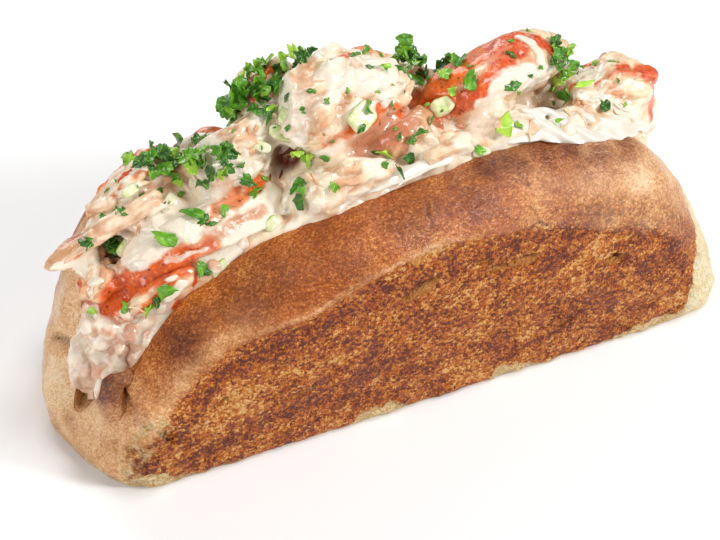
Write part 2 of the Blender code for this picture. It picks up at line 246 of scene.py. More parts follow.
def plug(tree, node, sockets):
    """Each socket of the node, by name or number, is linked to a socket, painted with a hex, or set."""
    for name, value in sockets.items():
        socket = node.inputs[name]
        if isinstance(value, bpy.types.NodeSocket):
            tree.links.new(value, socket)
        else:
            socket.default_value = linear(value) if isinstance(value, str) else value


def add(tree, kind, sockets, out=0, stops=(), **settings):
    """Adds one node with its links and settings, and gives one of its outputs.

    stops are for a colour ramp: pairs of a value and a hex colour.
    """
    made = tree.nodes.new("ShaderNode" + kind)
    for name, value in settings.items():
        setattr(made, name, value)
    plug(tree, made, sockets)
    for _ in stops[2:]:
        made.color_ramp.elements.new(0.5)
    for k, (at, colour) in enumerate(stops):
        made.color_ramp.elements[k].position = at
        made.color_ramp.elements[k].color = linear(colour)
    return made.outputs[out]


print("mid grey #808080 is", round(linear("#808080")[0], 3), "in linear light")


# %% A finish's tree, and patterns and coats for it
def new_finish(name, marks=()):
    """An empty material, its tree and shader, the object coordinates, and the named marks on the points."""
    material = bpy.data.materials.new(name)
    material.use_nodes = True
    tree = material.node_tree
    coords = add(tree, "TexCoord", {}, "Object")
    mark = {each: add(tree, "Attribute", {}, "Fac", attribute_name=each) for each in marks}
    return material, tree, tree.nodes["Principled BSDF"], coords, mark


def grain(tree, coords, width_mm, detail=2.0, stretch=(1.0, 1.0, 1.0), rough_share=0.5):
    """A pattern of blobs about that wide, in millimetres; stretch makes them longer along an axis."""
    scaled = add(tree, "Mapping", {"Vector": coords, "Scale": [1 / s for s in stretch]})
    sockets = {"Vector": scaled, "Scale": 0.5 / (width_mm * MM), "Detail": detail, "Roughness": rough_share}
    return add(tree, "TexNoise", sockets)


def sum_of(tree, *parts):
    """The sum of values, each times its share."""
    total = 0.0
    for value, share in parts:
        total = add(tree, "Math", {0: value, 1: share, 2: total}, operation="MULTIPLY_ADD")
    return total


def coated(tree, colour, *coats):
    """The colour under its coats, laid one over the other.

    A coat is a value and the range in which it comes in, how much of it shows at most, and its colour.
    """
    for value, low, high, most, coat in coats:
        share = add(tree, "MapRange", {0: value, 1: low, 2: high, 4: most})
        colour = add(tree, "Mix", {0: share, 6: colour, 7: coat}, 2, data_type="RGBA")
    return colour


print("blobs 1 mm wide take a noise scale of", 0.5 / MM)

# %% [markdown]
# ## The bun
# The bun is baked side by side with others, so its two long sides are flat, torn crumb, and only its top has
# a crust. The flat sides are griddled in butter. A loaf could be sculpted, but its shape follows a rule:
# rings climb the flat side, curve over the crust and turn down into the split. So the bun is one sheet of
# points: once round the bun in one direction, from the base over the lip to the floor of the split in the
# other.

# %% The bun's sizes, the same as in its solid
BUN_LENGTH, BUN_WIDTH = 157.0, 53.5
PLAN_POWER_X, PLAN_POWER_Y = 30.0, 6.0  # how tight the plan's corners are
END_BOW, END_BOW_POWER = 8.0, 1.4  # how much shorter the sides are than the middle
SPINE_HALF = 50.0  # the ends fan out from the tips of this middle line
BASE_ROUND = 2.0
SIDE_BOW = 0.6
DOME_POWER, END_POWER, END_BLEND = 2.1, 1.25, 20.0
SHOULDER = (  # where the flat side ends and the crust starts: x and height
    (-69, 8), (-65, 10), (-57, 20), (-48, 27), (-26, 35), (-11, 40), (4, 41.5), (19, 39.5), (39, 32.5),
    (56, 25), (63, 15), (71, 8),
)
END_SHOULDER, SHOULDER_UNDER_LIP = 7.0, 2.0
LIP = (  # the split's edge, once round from the right end, anticlockwise seen from above
    (76, 0, 10), (71, 6, 20), (66, 10, 31), (58, 13, 39.5), (41, 14.5, 46.5), (1, 15, 51), (-41, 16, 50),
    (-55, 15, 47.5), (-62.5, 11, 42), (-66.5, 7, 34), (-69, 3, 21), (-73, -3, 13), (-75, -8, 10.5),
    (-72, -13, 16), (-68, -17, 24), (-65, -15.5, 22.5), (-59, -14.5, 30), (-48, -14, 38.5),
    (-31, -13.5, 45.5), (5, -13.5, 50), (19, -13.5, 51.5), (39, -13, 49), (53, -12.5, 44), (59.5, -12, 37),
    (65.5, -9.5, 28.5), (72, -5, 17),
)
SPLIT_IN = (0.0, 0.06, 0.14, 0.22, 0.33, 0.5, 1.0)  # how far in from the lip, step by step,
SPLIT_DOWN = (0.0, 0.01, 0.07, 0.24, 0.52, 0.84, 1.0)  # and how far down to the floor
FLOOR_HEIGHT, FLOOR_HALF_LENGTH, FLOOR_HALF_WIDTH = 9.5, 67.0, 3.0

BUN_COLUMNS = 600
UNDERSIDE_ROWS = (0.35, 0.68, 0.9)  # as shares of the way out
BASE_ROWS, SIDE_ROWS, DOME_ROWS, SPLIT_ROWS = 5, 56, 62, 36
NEAR_CROWDING = 0.7  # columns lie closer together on the side that faces the eater
print("bun:", BUN_LENGTH, "by", BUN_WIDTH, "mm, and its lip is up to", max(z for _, _, z in LIP), "mm high")


# %% The outline and the lip
def plan_outline(count, crowding=0.0):
    """Points once round the widest outline: a superellipse with bowed ends, and the length along it."""
    turn = np.linspace(0.0, 2 * np.pi, 8001)
    c, s = np.cos(turn), np.sin(turn)
    x = BUN_LENGTH / 2 * np.sign(c) * np.abs(c) ** (2 / PLAN_POWER_X)
    y = BUN_WIDTH / 2 * np.sign(s) * np.abs(s) ** (2 / PLAN_POWER_Y)
    x -= END_BOW * np.sign(c) * np.abs(y / (BUN_WIDTH / 2)) ** END_BOW_POWER
    step = np.hypot(np.diff(x), np.diff(y))
    distance = np.concatenate([[0.0], np.cumsum(step)])
    crowd = step * (1 + crowding * fade(-(y[1:] + y[:-1]) / 2, -5, 15))
    crowd = np.concatenate([[0.0], np.cumsum(crowd)])
    at = np.interp(np.linspace(0, crowd[-1], count, endpoint=False), crowd, distance)
    return np.interp(at, distance, x), np.interp(at, distance, y), at, distance[-1]


def lip_curve(distance, total):
    """For each distance round the outline: how far out the lip lies (1 is the outline), and its height."""
    x, y, at, _ = plan_outline(4000)
    anchor = np.clip(x, -SPINE_HALF, SPINE_HALF)
    knots, reach, height = [], [], []
    for lip_x, lip_y, lip_z in LIP:
        start = np.clip(lip_x, -SPINE_HALF, SPINE_HALF)
        if abs(lip_x) < SPINE_HALF:
            miss = np.abs(x - lip_x) + 1000.0 * (np.sign(y) != np.sign(lip_y))
        else:
            across = (x - start) * lip_y - y * (lip_x - start)
            behind = ((x - start) * (lip_x - start) + y * lip_y <= 0) | (anchor != start)
            miss = np.abs(across) / np.hypot(x - start, y).clip(1e-6) + 1000.0 * behind
        best = int(np.argmin(miss))
        knots.append(at[best])
        reach.append(np.hypot(lip_x - start, lip_y) / np.hypot(x[best] - start, y[best]))
        height.append(lip_z)
    return through(distance, knots, reach, total), through(distance, knots, height, total)


print("once round the bun:", round(plan_outline(4)[-1]), "mm")


# %% The rings of the bun
def bun_rings(columns):
    """The bun's smooth rings, from the middle of its base to the floor of its split, and each row's level.

    Level 0 to 1 is the rounded base edge, 1 to 2 the flat side, 2 to 3 the crust and 3 to 4 the split.
    """
    x, y, at, total = plan_outline(columns, NEAR_CROWDING)
    reach, lip = lip_curve(at, total)
    anchor = np.clip(x, -SPINE_HALF, SPINE_HALF)
    side_x, side_z = zip(*SHOULDER)
    shoulder = np.where(np.abs(x) < side_x[-1], through(x, side_x, side_z), END_SHOULDER)
    shoulder = np.minimum(shoulder, lip - SHOULDER_UNDER_LIP)
    flatness = np.abs(y) / (BUN_WIDTH / 2)
    endness = ((np.abs(x) - SPINE_HALF) / END_BLEND).clip(0, 1)
    power = DOME_POWER + (END_POWER - DOME_POWER) * endness

    def ring(out, z):
        """The outline drawn in to that share of its size, at that height."""
        return np.stack([anchor + out * (x - anchor), out * y, z + 0 * x], -1)

    inset = BASE_ROUND / (BUN_WIDTH / 2)
    rings = [ring(share * (1 - inset), 0.0) for share in UNDERSIDE_ROWS]
    level = [0.0] * len(rings)
    for part in np.linspace(0, 1, BASE_ROWS):
        angle = part * np.pi / 2
        rings.append(ring(1 - inset * (1 - np.sin(angle)), BASE_ROUND * (1 - np.cos(angle))))
        level.append(part)
    for part in np.linspace(0, 1, SIDE_ROWS + 1)[1:]:
        bow = SIDE_BOW / (BUN_WIDTH / 2) * np.sin(np.pi * part) * flatness
        rings.append(ring(1 + bow, BASE_ROUND + (shoulder - BASE_ROUND) * part))
        level.append(1 + part)
    for part in np.linspace(0, 1, DOME_ROWS + 1)[1:]:
        angle = part * np.pi / 2
        out = reach + (1 - reach) * max(np.cos(angle), 0.0) ** (2 / power)
        rings.append(ring(out, shoulder + (lip - shoulder) * np.sin(angle) ** (2 / power)))
        level.append(2 + part)
    crest = rings[-1]
    middle = np.clip(crest[:, 0], -FLOOR_HALF_LENGTH, FLOOR_HALF_LENGTH)
    away = np.stack([crest[:, 0] - middle, crest[:, 1]], -1)
    away *= FLOOR_HALF_WIDTH / np.linalg.norm(away, axis=1, keepdims=True)
    floor = np.stack([middle + away[:, 0], away[:, 1], FLOOR_HEIGHT + 0 * middle], -1)
    for part in np.linspace(0, 1, SPLIT_ROWS + 1)[1:]:
        steps = np.arange(len(SPLIT_IN))
        inward, down = (through(part * steps[-1], steps, knots) for knots in (SPLIT_IN, SPLIT_DOWN))
        plan = crest[:, :2] + (floor[:, :2] - crest[:, :2]) * inward
        rings.append(np.column_stack([plan, crest[:, 2] + (floor[:, 2] - crest[:, 2]) * down]))
        level.append(3 + part)
    return np.array(rings), np.array(level)


smooth, level = bun_rings(BUN_COLUMNS)
print("rings, columns:", smooth.shape[:2])

# %% [markdown]
# Smooth rings look moulded. A real bun has tears, pockets and pleats: where the crumb tore from its
# neighbour, where bubbles opened on the griddle, and where the dough folded at its ends. Each is pushed in or
# out along the surface's normal, and each leaves a number on the points, so that the colour can follow the
# shape: the finish paints shade into the tops of the pockets and along the folds.

# %% What marks this bun
POCKETS = (  # opened bubbles on the near side: x, z, half length, half height, tilt in degrees
    (-5, 32.2, 4.4, 1.9, 20), (12.6, 31.8, 2.6, 1.1, 6), (19.4, 31.6, 3.5, 1.4, 2),
    (41.6, 24.5, 2.7, 1.1, -4), (9, 34.6, 1.8, 0.5, 0), (-31, 14.6, 2.6, 0.6, 14), (30, 11, 1.6, 0.5, 10),
    (-50, 18.6, 2.4, 0.4, 32),
)
# each fold is also painted darker along its line, as painted shade
PLEATS = (  # folds in the dough: points of the line, half width, depth, and how far its sides swell
    (((-76.5, 12, 15), (-74, 8, 18), (-72.6, 5, 19.2), (-71, 3, 18.6)), 1, 1.6, 0.5),
    (((5.3, -22.9, 47.9), (8.5, -23.4, 47.6), (11.6, -23, 47.8)), 0.4, 0.3, 0.1),
    (((-47, -17, 41.5), (-47.6, -21, 38.5)), 2.2, 0.8, 0.3),
    (((-30, -18, 45), (-26, -22, 43.5)), 2, 0.5, 0.1),
    (((-40, -17, 44), (-38.6, -20.5, 41.5)), 1.6, 0.6, 0.2),
)
LAP = (  # where the upper dough laps over the lower, at the near left end
    (-66.9, -13.5, 22.4), (-66.4, -16, 21.4), (-65.8, -18.6, 20.4), (-65, -21, 19), (-63.8, -22.6, 17.6),
)
LAP_SIDE = (0.83, 0.0, 0.55)  # towards the upper dough
LAP_UP, LAP_LOBE, LAP_DEEP, LAP_WIDE = 2.5, 2.3, 1.3, 0.5  # its lip, the lobe under it, and the fold between
CRUMBLE = (  # where the corner crumbled
    (-62.6, -25, 16.6), (-66, -24.9, 12.5), (-68.6, -24.6, 8), (-69.6, -24.6, 4), (-69.4, -24.4, 1),
)
CRACKS = (  # thin splits in the crust
    ((-0.6, -19.4, 48.8), (-1.4, -21.4, 48), (-1, -23, 47), (-2.2, -24.6, 45.6)),
    ((20.6, -25.2, 44.6), (21.8, -26.2, 42.4), (23.6, -26.8, 38.8)), ((20.4, -20, 50), (21.4, -22.6, 48.4)),
)
print(len(POCKETS), "pockets,", len(PLEATS), "pleats and", len(CRACKS), "cracks")

# %% Where the griddle browned it, and where it didn't
SCORCHES = (  # darker streaks on the griddled side: two ends (x, z), half width, strength
    (-60, 12, -47, 27, 1.5, 1), (-47, 27, -22, 32, 1.5, 1), (-22, 32, -10, 35.5, 1.3, 0.7),
    (-58, 6.5, -34, 11.4, 1.6, 0.9), (-34, 11.4, -8, 16, 2.1, 1), (-64, 4, -52, 3, 1, 0.7),
    (-26, 7, -12, 9.5, 1.4, 0.6), (17, 30, 24, 29, 1.8, 0.9), (44, 24, 50, 20, 1.9, 0.9),
    (55, 24.5, 61, 14, 1.3, 0.9), (61, 14, 58, 9, 1.2, 0.8), (0, 14, 16, 7, 3.2, 0.4),
    (26, 20, 40, 12, 3, 0.45), (-2, 26, 8, 24, 2, 0.4), (-10, 36, 12, 36.5, 2.4, 0.7),
)
BALD = (  # pale patches that barely met the griddle: x, z, half length, half height, tilt in degrees
    (-48, 18, 9, 3.4, 32), (-55, 9, 6, 1.4, 14), (-34, 21.5, 6, 2.2, 12), (-22, 21, 4, 1.5, 10),
    (-14.5, 28.4, 2.4, 1.2, 10), (-8, 20, 2.2, 1.9, 0), (-50, 4.6, 8, 1, 4), (-39, 6.6, 6, 1.2, 6),
    (9, 34, 3, 1, 0), (41, 26, 4.4, 1.4, -8), (46.5, 17, 2.6, 1.9, 0), (57, 7, 5, 3, -10),
    (13, 33.4, 4, 0.9, 0), (62, 17, 1.6, 3, 0), (-24, 15.4, 5, 1.1, 8), (32, 27, 2.6, 1, 0),
    (-6, 30.8, 4.6, 0.9, 20), (20, 16, 2.4, 1, 0), (3, 9, 2.6, 1.2, 0),
)
TORN_EDGE = (  # how high the torn pale edge climbs from the base: x, mm
    (-72, 2), (-66, 5), (-63, 3.5), (-58, 0.8), (-48, 0.2), (-35, 0.2), (-22, 0.6), (-19, 2.6), (-10, 3.4),
    (-7, 0.3), (2, 0.2), (12, 0.3), (14, 3), (20, 3.2), (24, 1), (34, 0.4), (42, 1.2), (48, 2.4), (56, 3),
    (60, 3.2), (62, 5), (62.9, 12), (63.9, 20), (65.3, 27), (74, 28),
)
DARK_SPOTS = (  # where the crust browned most: centre, radius, strength
    ((-69.2, -16.6, 22.8), 4.6, 1), ((-56, -20, 32.4), 6.6, 1), ((-50, -18.6, 38), 4, 0.5),
    ((-22, -24.5, 41.5), 8, 0.5), ((-3, -23, 46.5), 9, 0.5), ((8, -16, 50.6), 4.4, 0.7),
    ((14, -16.6, 51), 5, 1), ((20, -17, 51.2), 5.4, 1), ((27, -17, 50.6), 5.4, 1),
    ((34, -17.2, 49.6), 5.2, 1), ((41, -17, 48.2), 5, 1), ((48, -16.2, 46.4), 4.4, 0.8),
    ((8, -22.4, 48), 4, 0.7), ((-30, 23, 44), 12, 0.6), ((10, 24, 46), 12, 0.7), ((-40, -21, 40), 9, 0.6),
    ((46, -25.5, 33), 6, 0.25), ((32, -26, 38), 7, 0.25),
)
DRY_RIM = ((10.0, -15.5, 51.0), (24.0, -16.0, 51.4), (36.0, -16.4, 49.8), (49.0, -15.6, 46.6))
LOW_ROW, HIGH_ROW = 40, 60  # two rings of the flat side
print(len(SCORCHES), "scorches,", len(BALD), "bald patches and", len(DARK_SPOTS), "dark spots")


# %% Find the griddled side, the torn crumb and the inside of the split
def swelling(place, line, half_width):
    """1 on the line, falling as a bell curve with its distance."""
    return np.exp(-((off_line(place, line) / half_width) ** 2))


def in_patch(at_x, at_z, half_long, half_high, tilt, wander_x, wander_z):
    """(away, up): how far each point is from a tilted oval, 1 at its edge, and how high it is in it."""
    c, s = np.cos(np.radians(tilt)), np.sin(np.radians(tilt))
    dx, dz = (x - at_x) + wander_x, (z - at_z) + wander_z
    up = (dz * c - dx * s) / half_high
    return np.hypot((dx * c + dz * s) / half_long, up), up


out = normals_of(smooth)
if out[LOW_ROW, 0, :2] @ smooth[LOW_ROW, 0, :2] < 0:
    out = -out
x, y, z = np.moveaxis(smooth, -1, 0)
level = level[:, None] + 0 * x
side_x, side_z = zip(*SHOULDER)
facing = np.abs(out[HIGH_ROW : HIGH_ROW + 1, :, 1]) + 0 * x  # 1 on the long sides, 0 at the ends
near = fade(-y, 12, 18) * fade(facing, 0.5, 0.8)
inside = fade(level, 3.0, 3.2)
inner_wall = fade(level, 3.12, 3.35)
kissed = fade(x, 10, 34)  # to the right the side rolls up off the griddle, and its edge is soft
border = through(x, side_x, side_z) + 3.3 * fade(-x, 28, 46) + 1.3 * rough(smooth, 7.0, 3)
border = border + 0.5 * blobs(smooth, 1.3, 5) + 1.5 * kissed
griddled = fade(border - z, -0.6 - 2.4 * kissed, 0.6 + 1.0 * kissed)
griddled = griddled * fade(facing + 0.06 * blobs(smooth, 2.0, 8), 0.66, 0.8)
hint = 0.55 * kissed * fade(border + 7 - z, -2.5, 2.5) * fade(facing, 0.85, 0.97) * (level < 3)
griddled = np.maximum(griddled, hint)
torn_x, torn_z = zip(*TORN_EDGE)
torn = through(x, torn_x, torn_z) + 1.6 * rough(smooth, (3.0, 3.0, 1.6), 11)
torn = fade(torn - z, -0.2, 0.3) * fade(facing, 0.2, 0.5)
corner = off_line(smooth + 1.4 * rough(smooth, 3.0, 12)[..., None], CRUMBLE)
corner = 0.8 * fade(-corner, -3.0, -1.6) * fade(rough(smooth, 1.4, 13), -0.35, 0.25)
bare = np.maximum(torn, corner) * (1 - inside) * (level < 2.6)
waxy = fade(x, 60, 64) * torn * (y < 0)
print("griddled points:", f"{(griddled > 0.5).mean():.0%}", "and torn ones:", f"{(bare > 0.5).mean():.0%}")

# %% Open the pockets, and mark the scorches, the bald patches and the pale border
pocket = np.zeros_like(x)
for patch in POCKETS:
    away, up = in_patch(*patch, 0.5 * blobs(smooth, 2.0, 14), 0.4 * blobs(smooth, 1.6, 15))
    # strongest at a pocket's top, where it is dug deepest and where the finish paints shade
    pocket = np.maximum(pocket, fade(-away, -1.1, -0.75) * (0.35 + 0.65 * fade(up, -0.9, 0.7)) * near)
small, which = scattered(smooth, (3.0, 3.0, 2.0), 20)
pinholes = fade(-small, -0.34, -0.12) * (which > 0.5) * np.maximum(griddled, bare)
scorch = np.zeros_like(x)
flat = np.stack([x + 1.5 * blobs(smooth, 5.0, 21), z + 1.2 * blobs(smooth, 4.0, 22)], -1)
for x0, z0, x1, z1, half_width, strength in SCORCHES:
    scorch = np.maximum(scorch, strength * swelling(flat, ((x0, z0), (x1, z1)), half_width) * near)
scorch = np.maximum(scorch, fade(rough(smooth, (7.0, 7.0, 4.0), 23), 0.1, 0.5) * 0.7)
bald = np.zeros_like(x)
for patch in BALD:
    away, _ = in_patch(*patch, 1.4 * blobs(smooth, 3.0, 24), 0.8 * blobs(smooth, 2.0, 27))
    bald = np.maximum(bald, fade(-away + 0.5 * rough(smooth, 1.8, 25), -1.2, -0.4) * near)
bald = np.maximum(bald, 0.7 * fade(rough(smooth, (5.0, 5.0, 3.5), 26), 0.25, 0.5))
above = z - border
pale = 0.55 * np.exp(-(((above - 1.2) / 0.8) ** 2)) * fade(-x, -12, 6)
pale = np.maximum(pale, 0.8 * np.exp(-(((above - 2.6) / 2.8) ** 2)) * fade(-x, 34, 50))
pale = pale * (0.75 + 0.5 * rough(smooth, 2.5, 28))
pale = pale.clip(0, 1) * (above > 0) * fade(facing, 0.3, 0.6) * (1 - inside)
print("points in a pocket:", int((pocket > 0.5).sum()), "and scorched:", int((scorch > 0.5).sum()))

# %% Push the skin in and out
lift = 0.45 * rough(smooth, 16.0, 30) * fade(level, 1.2, 2.4) * (1 - inside)
lift += 0.25 * rough(smooth, 6.0, 31) * fade(level, 2.0, 2.3) * (1 - inside)
lift -= 0.3 * griddled
crumbly = np.maximum(griddled * 0.6, bare)
lift += crumbly * (0.35 * rough(smooth, (2.0, 2.0, 1.6), 32) - 0.45 * pinholes) - 0.2 * bald * griddled
lift -= 2.8 * pocket
lift += 0.7 * bare * blobs(smooth, (3.0, 3.0, 2.0), 33) * fade(facing, 0.6, 0.9)
# the folds also leave a mark, which the finish paints darker as shade
pleat_shade = np.zeros_like(x)
for line, half_width, depth, swell in PLEATS:
    away = off_line(smooth + 0.3 * blobs(smooth, 2.0, 34)[..., None], line)
    pleat_shade = np.maximum(pleat_shade, np.exp(-((away / half_width) ** 2)) * min(depth, 1.0))
    lift += swell * np.exp(-(((away - 3.0 * half_width) / (2.0 * half_width)) ** 2))
    lift -= depth * np.exp(-((away / half_width) ** 2))
away = off_line(smooth + 0.25 * blobs(smooth, 2.0, 34)[..., None], LAP)
above_lap = ((smooth - LAP[2]) @ np.array(LAP_SIDE) > 0) * (1 - inside)
lift += LAP_UP * above_lap * np.exp(-((away / 4.0) ** 2)) * (1 - np.exp(-((away / LAP_WIDE) ** 2)))
lift += LAP_LOBE * (1 - above_lap) * np.exp(-(((away - 4.5) / 3.0) ** 2)) * (1 - inside)
lap = np.exp(-((away / LAP_WIDE) ** 2)) * (1 - inside)
lift -= LAP_DEEP * lap
# the fold under the lap is painted in shade too
pleat_shade = np.maximum(pleat_shade, lap)
crack = sum(swelling(smooth + 0.6 * blobs(smooth, 1.2, 40)[..., None], line, 0.3) for line in CRACKS)
crack = crack.clip(0, 1) * (level > 2) * (1 - inside)
lift += 0.1 * sum(swelling(smooth, line, 0.9) for line in CRACKS) - 0.3 * crack
rim = swelling(smooth, DRY_RIM, 3.2) * (1 - inner_wall)
lift += rim * 0.5 * np.abs(rough(smooth, (5.0, 1.6, 1.6), 41))
heel = fade(-facing, -0.7, -0.3) * (1 - inside)
lift += heel * 0.5 * rough(smooth, (7.0, 7.0, 5.0), 43)
lift += inner_wall * 0.35 * rough(smooth, (2.5, 2.5, 2.0), 44)
lift *= fade(z, 0.2, 1.2) * (1 - fade(level, 3.6, 3.9))
bun_points = smooth + out * lift[..., None]
ragged = np.exp(-((z - 1.0) / 1.6) ** 2) * near * (level > 0.3)
bun_points[..., 1] += 0.8 * ragged * rough(smooth * (1, 0, 0), 3.2, 46)
print("the skin moves by", lift.min().round(2), "to", lift.max().round(2), "mm")

# %% Brown the crust, and gloss it
brown = np.zeros_like(x)
for centre, radius, strength in DARK_SPOTS:
    away = np.linalg.norm((smooth - centre) + 2.0 * rough(smooth, 5.0, 50)[..., None], axis=-1)
    brown = np.maximum(brown, strength * np.exp(-((away / radius) ** 2)))
brown = (brown + 0.45 * rough(smooth, 8.0, 51) * (1 - inside)).clip(0, 1)
golden_and_sheen = np.maximum(0.95 * heel, 0.64 * fade(-x, 60, 68) * fade(-z, -30, -18))
# to the right the crust is paler; reaching in to the middle of the dome, this paler golden is also a painted
# sheen of light
golden_and_sheen = np.maximum(golden_and_sheen, 0.8 * fade(x, 12, 54) * fade(z, 20, 38))
golden_and_sheen = (golden_and_sheen * (1 - 0.6 * brown) + 0.4 * rough(smooth, 6.0, 52) * (golden_and_sheen > 0.1)).clip(0, 1)
gloss = 0.35 + 0.65 * fade(x, -24, 2) * (1 - 0.75 * fade(x, 34, 56)) * (level > 2)
gloss = gloss + 0.6 * heel * (x < 0)
gloss = gloss * (1.25 + 1.0 * rough(smooth, (6.0, 6.0, 4.0), 53)) * (1 - 0.4 * brown)
gloss = gloss.clip(0, 1) * (1 - 0.9 * inner_wall)
print("mean brown, golden and gloss:", [round(float(mark.mean()), 2) for mark in (brown, golden_and_sheen, gloss)])

# %% [markdown]
# The crust is an egg-washed, baked skin: sugar and protein browned by heat, with a thin shine that breaks up
# over tiny blisters. The griddled side is open crumb fried in butter, so it is mottled down to single grains,
# and the torn crumb and the inside of the split are matt and pale. All of it is bread, so light sinks in a
# little before it comes back out.

# %% The bread's finish
CRUMB, SMALL_CRUMB = 0.62, 0.36  # single crumbs, across in millimetres
RAMPS = (  # dark to light: crust, golden crust, dark crust, fried crumb, torn crumb, waxy crumb, inside
    ((0.36, "#843e08"), (0.47, "#a3500c"), (0.56, "#b8641a"), (0.68, "#d68e44")),
    # golden crust, which also carries the painted sheen on the dome
    ((0.34, "#bc7e42"), (0.46, "#dba66c"), (0.56, "#eabe8c"), (0.68, "#f6dab2")),
    ((0.38, "#4a1c0c"), (0.5, "#6b3012"), (0.66, "#9a5a28")),
    ((0.16, "#642204"), (0.3, "#963e04"), (0.48, "#c26008"), (0.64, "#d6801c"), (0.84, "#ecb86e")),
    ((0.38, "#cfa264"), (0.5, "#e4c490"), (0.64, "#f4e2ba")), ((0.4, "#ffe2ac"), (0.6, "#fff2d0")),
    ((0.4, "#c98f58"), (0.5, "#e0b07c"), (0.64, "#f0d3a6")),
)


# Shade in the pockets and along the folds, and part of the sheen on the dome, are painted into the bread's
# colour.
def bread(marks):
    """Baked wheat bread: a browned skin, crumb fried in butter, and torn crumb, told apart by their marks."""
    material, tree, shader, coords, mark = new_finish("baked_wheat_bread", marks)
    fine = grain(tree, coords, 0.3, 3.0, (1.3, 1.0, 1.0), 0.65)
    middling = grain(tree, coords, 1.2, 3.0, (1.3, 1.0, 1.0), 0.6)
    patches = grain(tree, coords, 2.2, 3.0, (1.3, 1.0, 1.0), 0.6)
    broad = grain(tree, coords, 5.0, 3.0)
    cells = add(tree, "TexVoronoi", {"Vector": coords, "Scale": 1 / (CRUMB * MM)}).node
    small_cells = add(tree, "TexVoronoi", {"Vector": coords, "Scale": 1 / (SMALL_CRUMB * MM)}).node
    crumb_tone = add(tree, "SeparateColor", {0: cells.outputs["Color"]})
    small_tone = add(tree, "SeparateColor", {0: small_cells.outputs["Color"]})

    tone = sum_of(tree, (fine, 0.5), (small_tone, 0.16), (middling, 0.34))
    baked = sum_of(tree, (fine, 0.45), (middling, 0.15), (broad, 0.5), (small_tone, 0.25), (-0.175, 1.0))
    blond = sum_of(tree, (fine, 0.4), (middling, 0.1), (broad, 0.6), (small_tone, 0.14), (-0.12, 1.0))
    heat = sum_of(
        tree, (crumb_tone, 0.54), (small_tone, 0.38), (fine, 0.3), (patches, 0.72), (broad, 0.62),
        (-0.835, 1.0), (mark["scorch"], -0.2), (mark["bald"], 0.17),
    )
    values = (baked, blond, tone, heat, tone, middling, tone)
    crust, golden_and_sheen, dark, fried, crumb, wax, inner = (
        add(tree, "ValToRGB", {0: value}, stops=stops) for value, stops in zip(values, RAMPS)
    )
    # inside a pocket: golden crumb, with painted shade towards the pocket's top
    shaded_hollow = coated(tree, "#d8924e", (mark["pocket"], 0.5, 0.85, 1.0, "#5c2a10"))
    colour = coated(
        # the golden coat is partly paler crust and partly painted sheen
        tree, crust, (mark["golden_and_sheen"], 0.0, 1.0, 1.0, golden_and_sheen), (mark["pale"], 0.0, 1.0, 0.9, golden_and_sheen),
        (mark["brown"], 0.15, 1.0, 0.9, dark), (mark["griddled"], 0.0, 1.0, 1.0, fried),
        (mark["bare"], 0.0, 1.0, 1.0, crumb), (mark["waxy"], 0.0, 1.0, 1.0, wax),
        (mark["pocket"], 0.1, 0.35, 1.0, shaded_hollow), (mark["inside"], 0.0, 1.0, 1.0, inner),
        # painted shade along the folds, in the last coat
        (mark["crack"], 0.0, 1.0, 1.0, "#5a2a10"), (mark["pleat_shade"], 0.3, 1.0, 0.75, "#6c3c18"),
    )

    wrinkle = sum_of(tree, (fine, 1.1), (middling, 0.5), (small_cells.outputs["Distance"], -0.3))
    skin = add(tree, "Bump", {"Height": wrinkle, "Strength": 0.85, "Distance": 0.35 * MM})
    open_crumb = add(tree, "Math", {0: mark["griddled"], 1: mark["bare"]}, operation="MAXIMUM")
    height = sum_of(tree, (heat, 1.0), (cells.outputs["Distance"], -0.9))
    height = add(tree, "Math", {0: height, 1: open_crumb}, operation="MULTIPLY")
    bump = add(tree, "Bump", {"Height": height, "Strength": 0.9, "Distance": 0.75 * MM, "Normal": skin})
    blisters = add(tree, "MapRange", {0: fine, 1: 0.4, 2: 0.58, 3: 0.6})  # they break up the shine
    matt = add(tree, "MapRange", {0: mark["bare"], 3: 0.9, 4: 0.2})
    buttered = add(tree, "Math", {0: mark["griddled"], 1: 0.35}, operation="MULTIPLY")
    shine = add(tree, "Math", {0: mark["gloss"], 1: blisters}, operation="MULTIPLY")
    shine = add(tree, "Math", {0: shine, 1: buttered}, operation="MAXIMUM")
    shine = add(tree, "Math", {0: shine, 1: matt}, operation="MULTIPLY")
    plug(tree, shader, {
        "Base Color": colour, "Roughness": 0.6, "Normal": bump, "IOR": 1.45, "Specular IOR Level": 0.2,
        "Coat Weight": shine, "Coat Roughness": 0.2, "Coat IOR": 1.75, "Coat Normal": bump,
        "Subsurface Weight": 0.06, "Subsurface Radius": (1.0, 0.5, 0.25), "Subsurface Scale": 0.8 * MM,
    })
    return material


print("crumbs are", CRUMB, "and", SMALL_CRUMB, "mm across")

# %% Make the bun
underside = np.arange(BUN_COLUMNS)[None, ::-1]
floor_face = np.arange((len(smooth) - 1) * BUN_COLUMNS, len(smooth) * BUN_COLUMNS)[None]
faces = [squares(len(smooth), BUN_COLUMNS), underside, floor_face]
marks = {
    "griddled": griddled, "bare": bare, "brown": brown, "golden_and_sheen": golden_and_sheen, "scorch": scorch, "bald": bald,
    "pocket": pocket, "inside": inner_wall, "crack": crack, "pleat_shade": pleat_shade, "pale": pale, "waxy": waxy,
    "gloss": gloss,
}
bun = add_piece("bun_bread", bun_points.reshape(-1, 3), faces, bread(marks), marks)
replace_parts(bun, "bun")

# %% [markdown]
# ## The lobster
# The large pieces are claw, knuckle and tail meat, pulled from the shell and torn. Each is a rounded bolster:
# a blunt ellipse carried along an arched line. Tail meat is bundles of muscle that run lengthwise and fray
# where they tear, claw meat is smooth with a red skin, and both have curds of dressing clinging to them.
# Where two pieces meet they press flat, as soft things do.

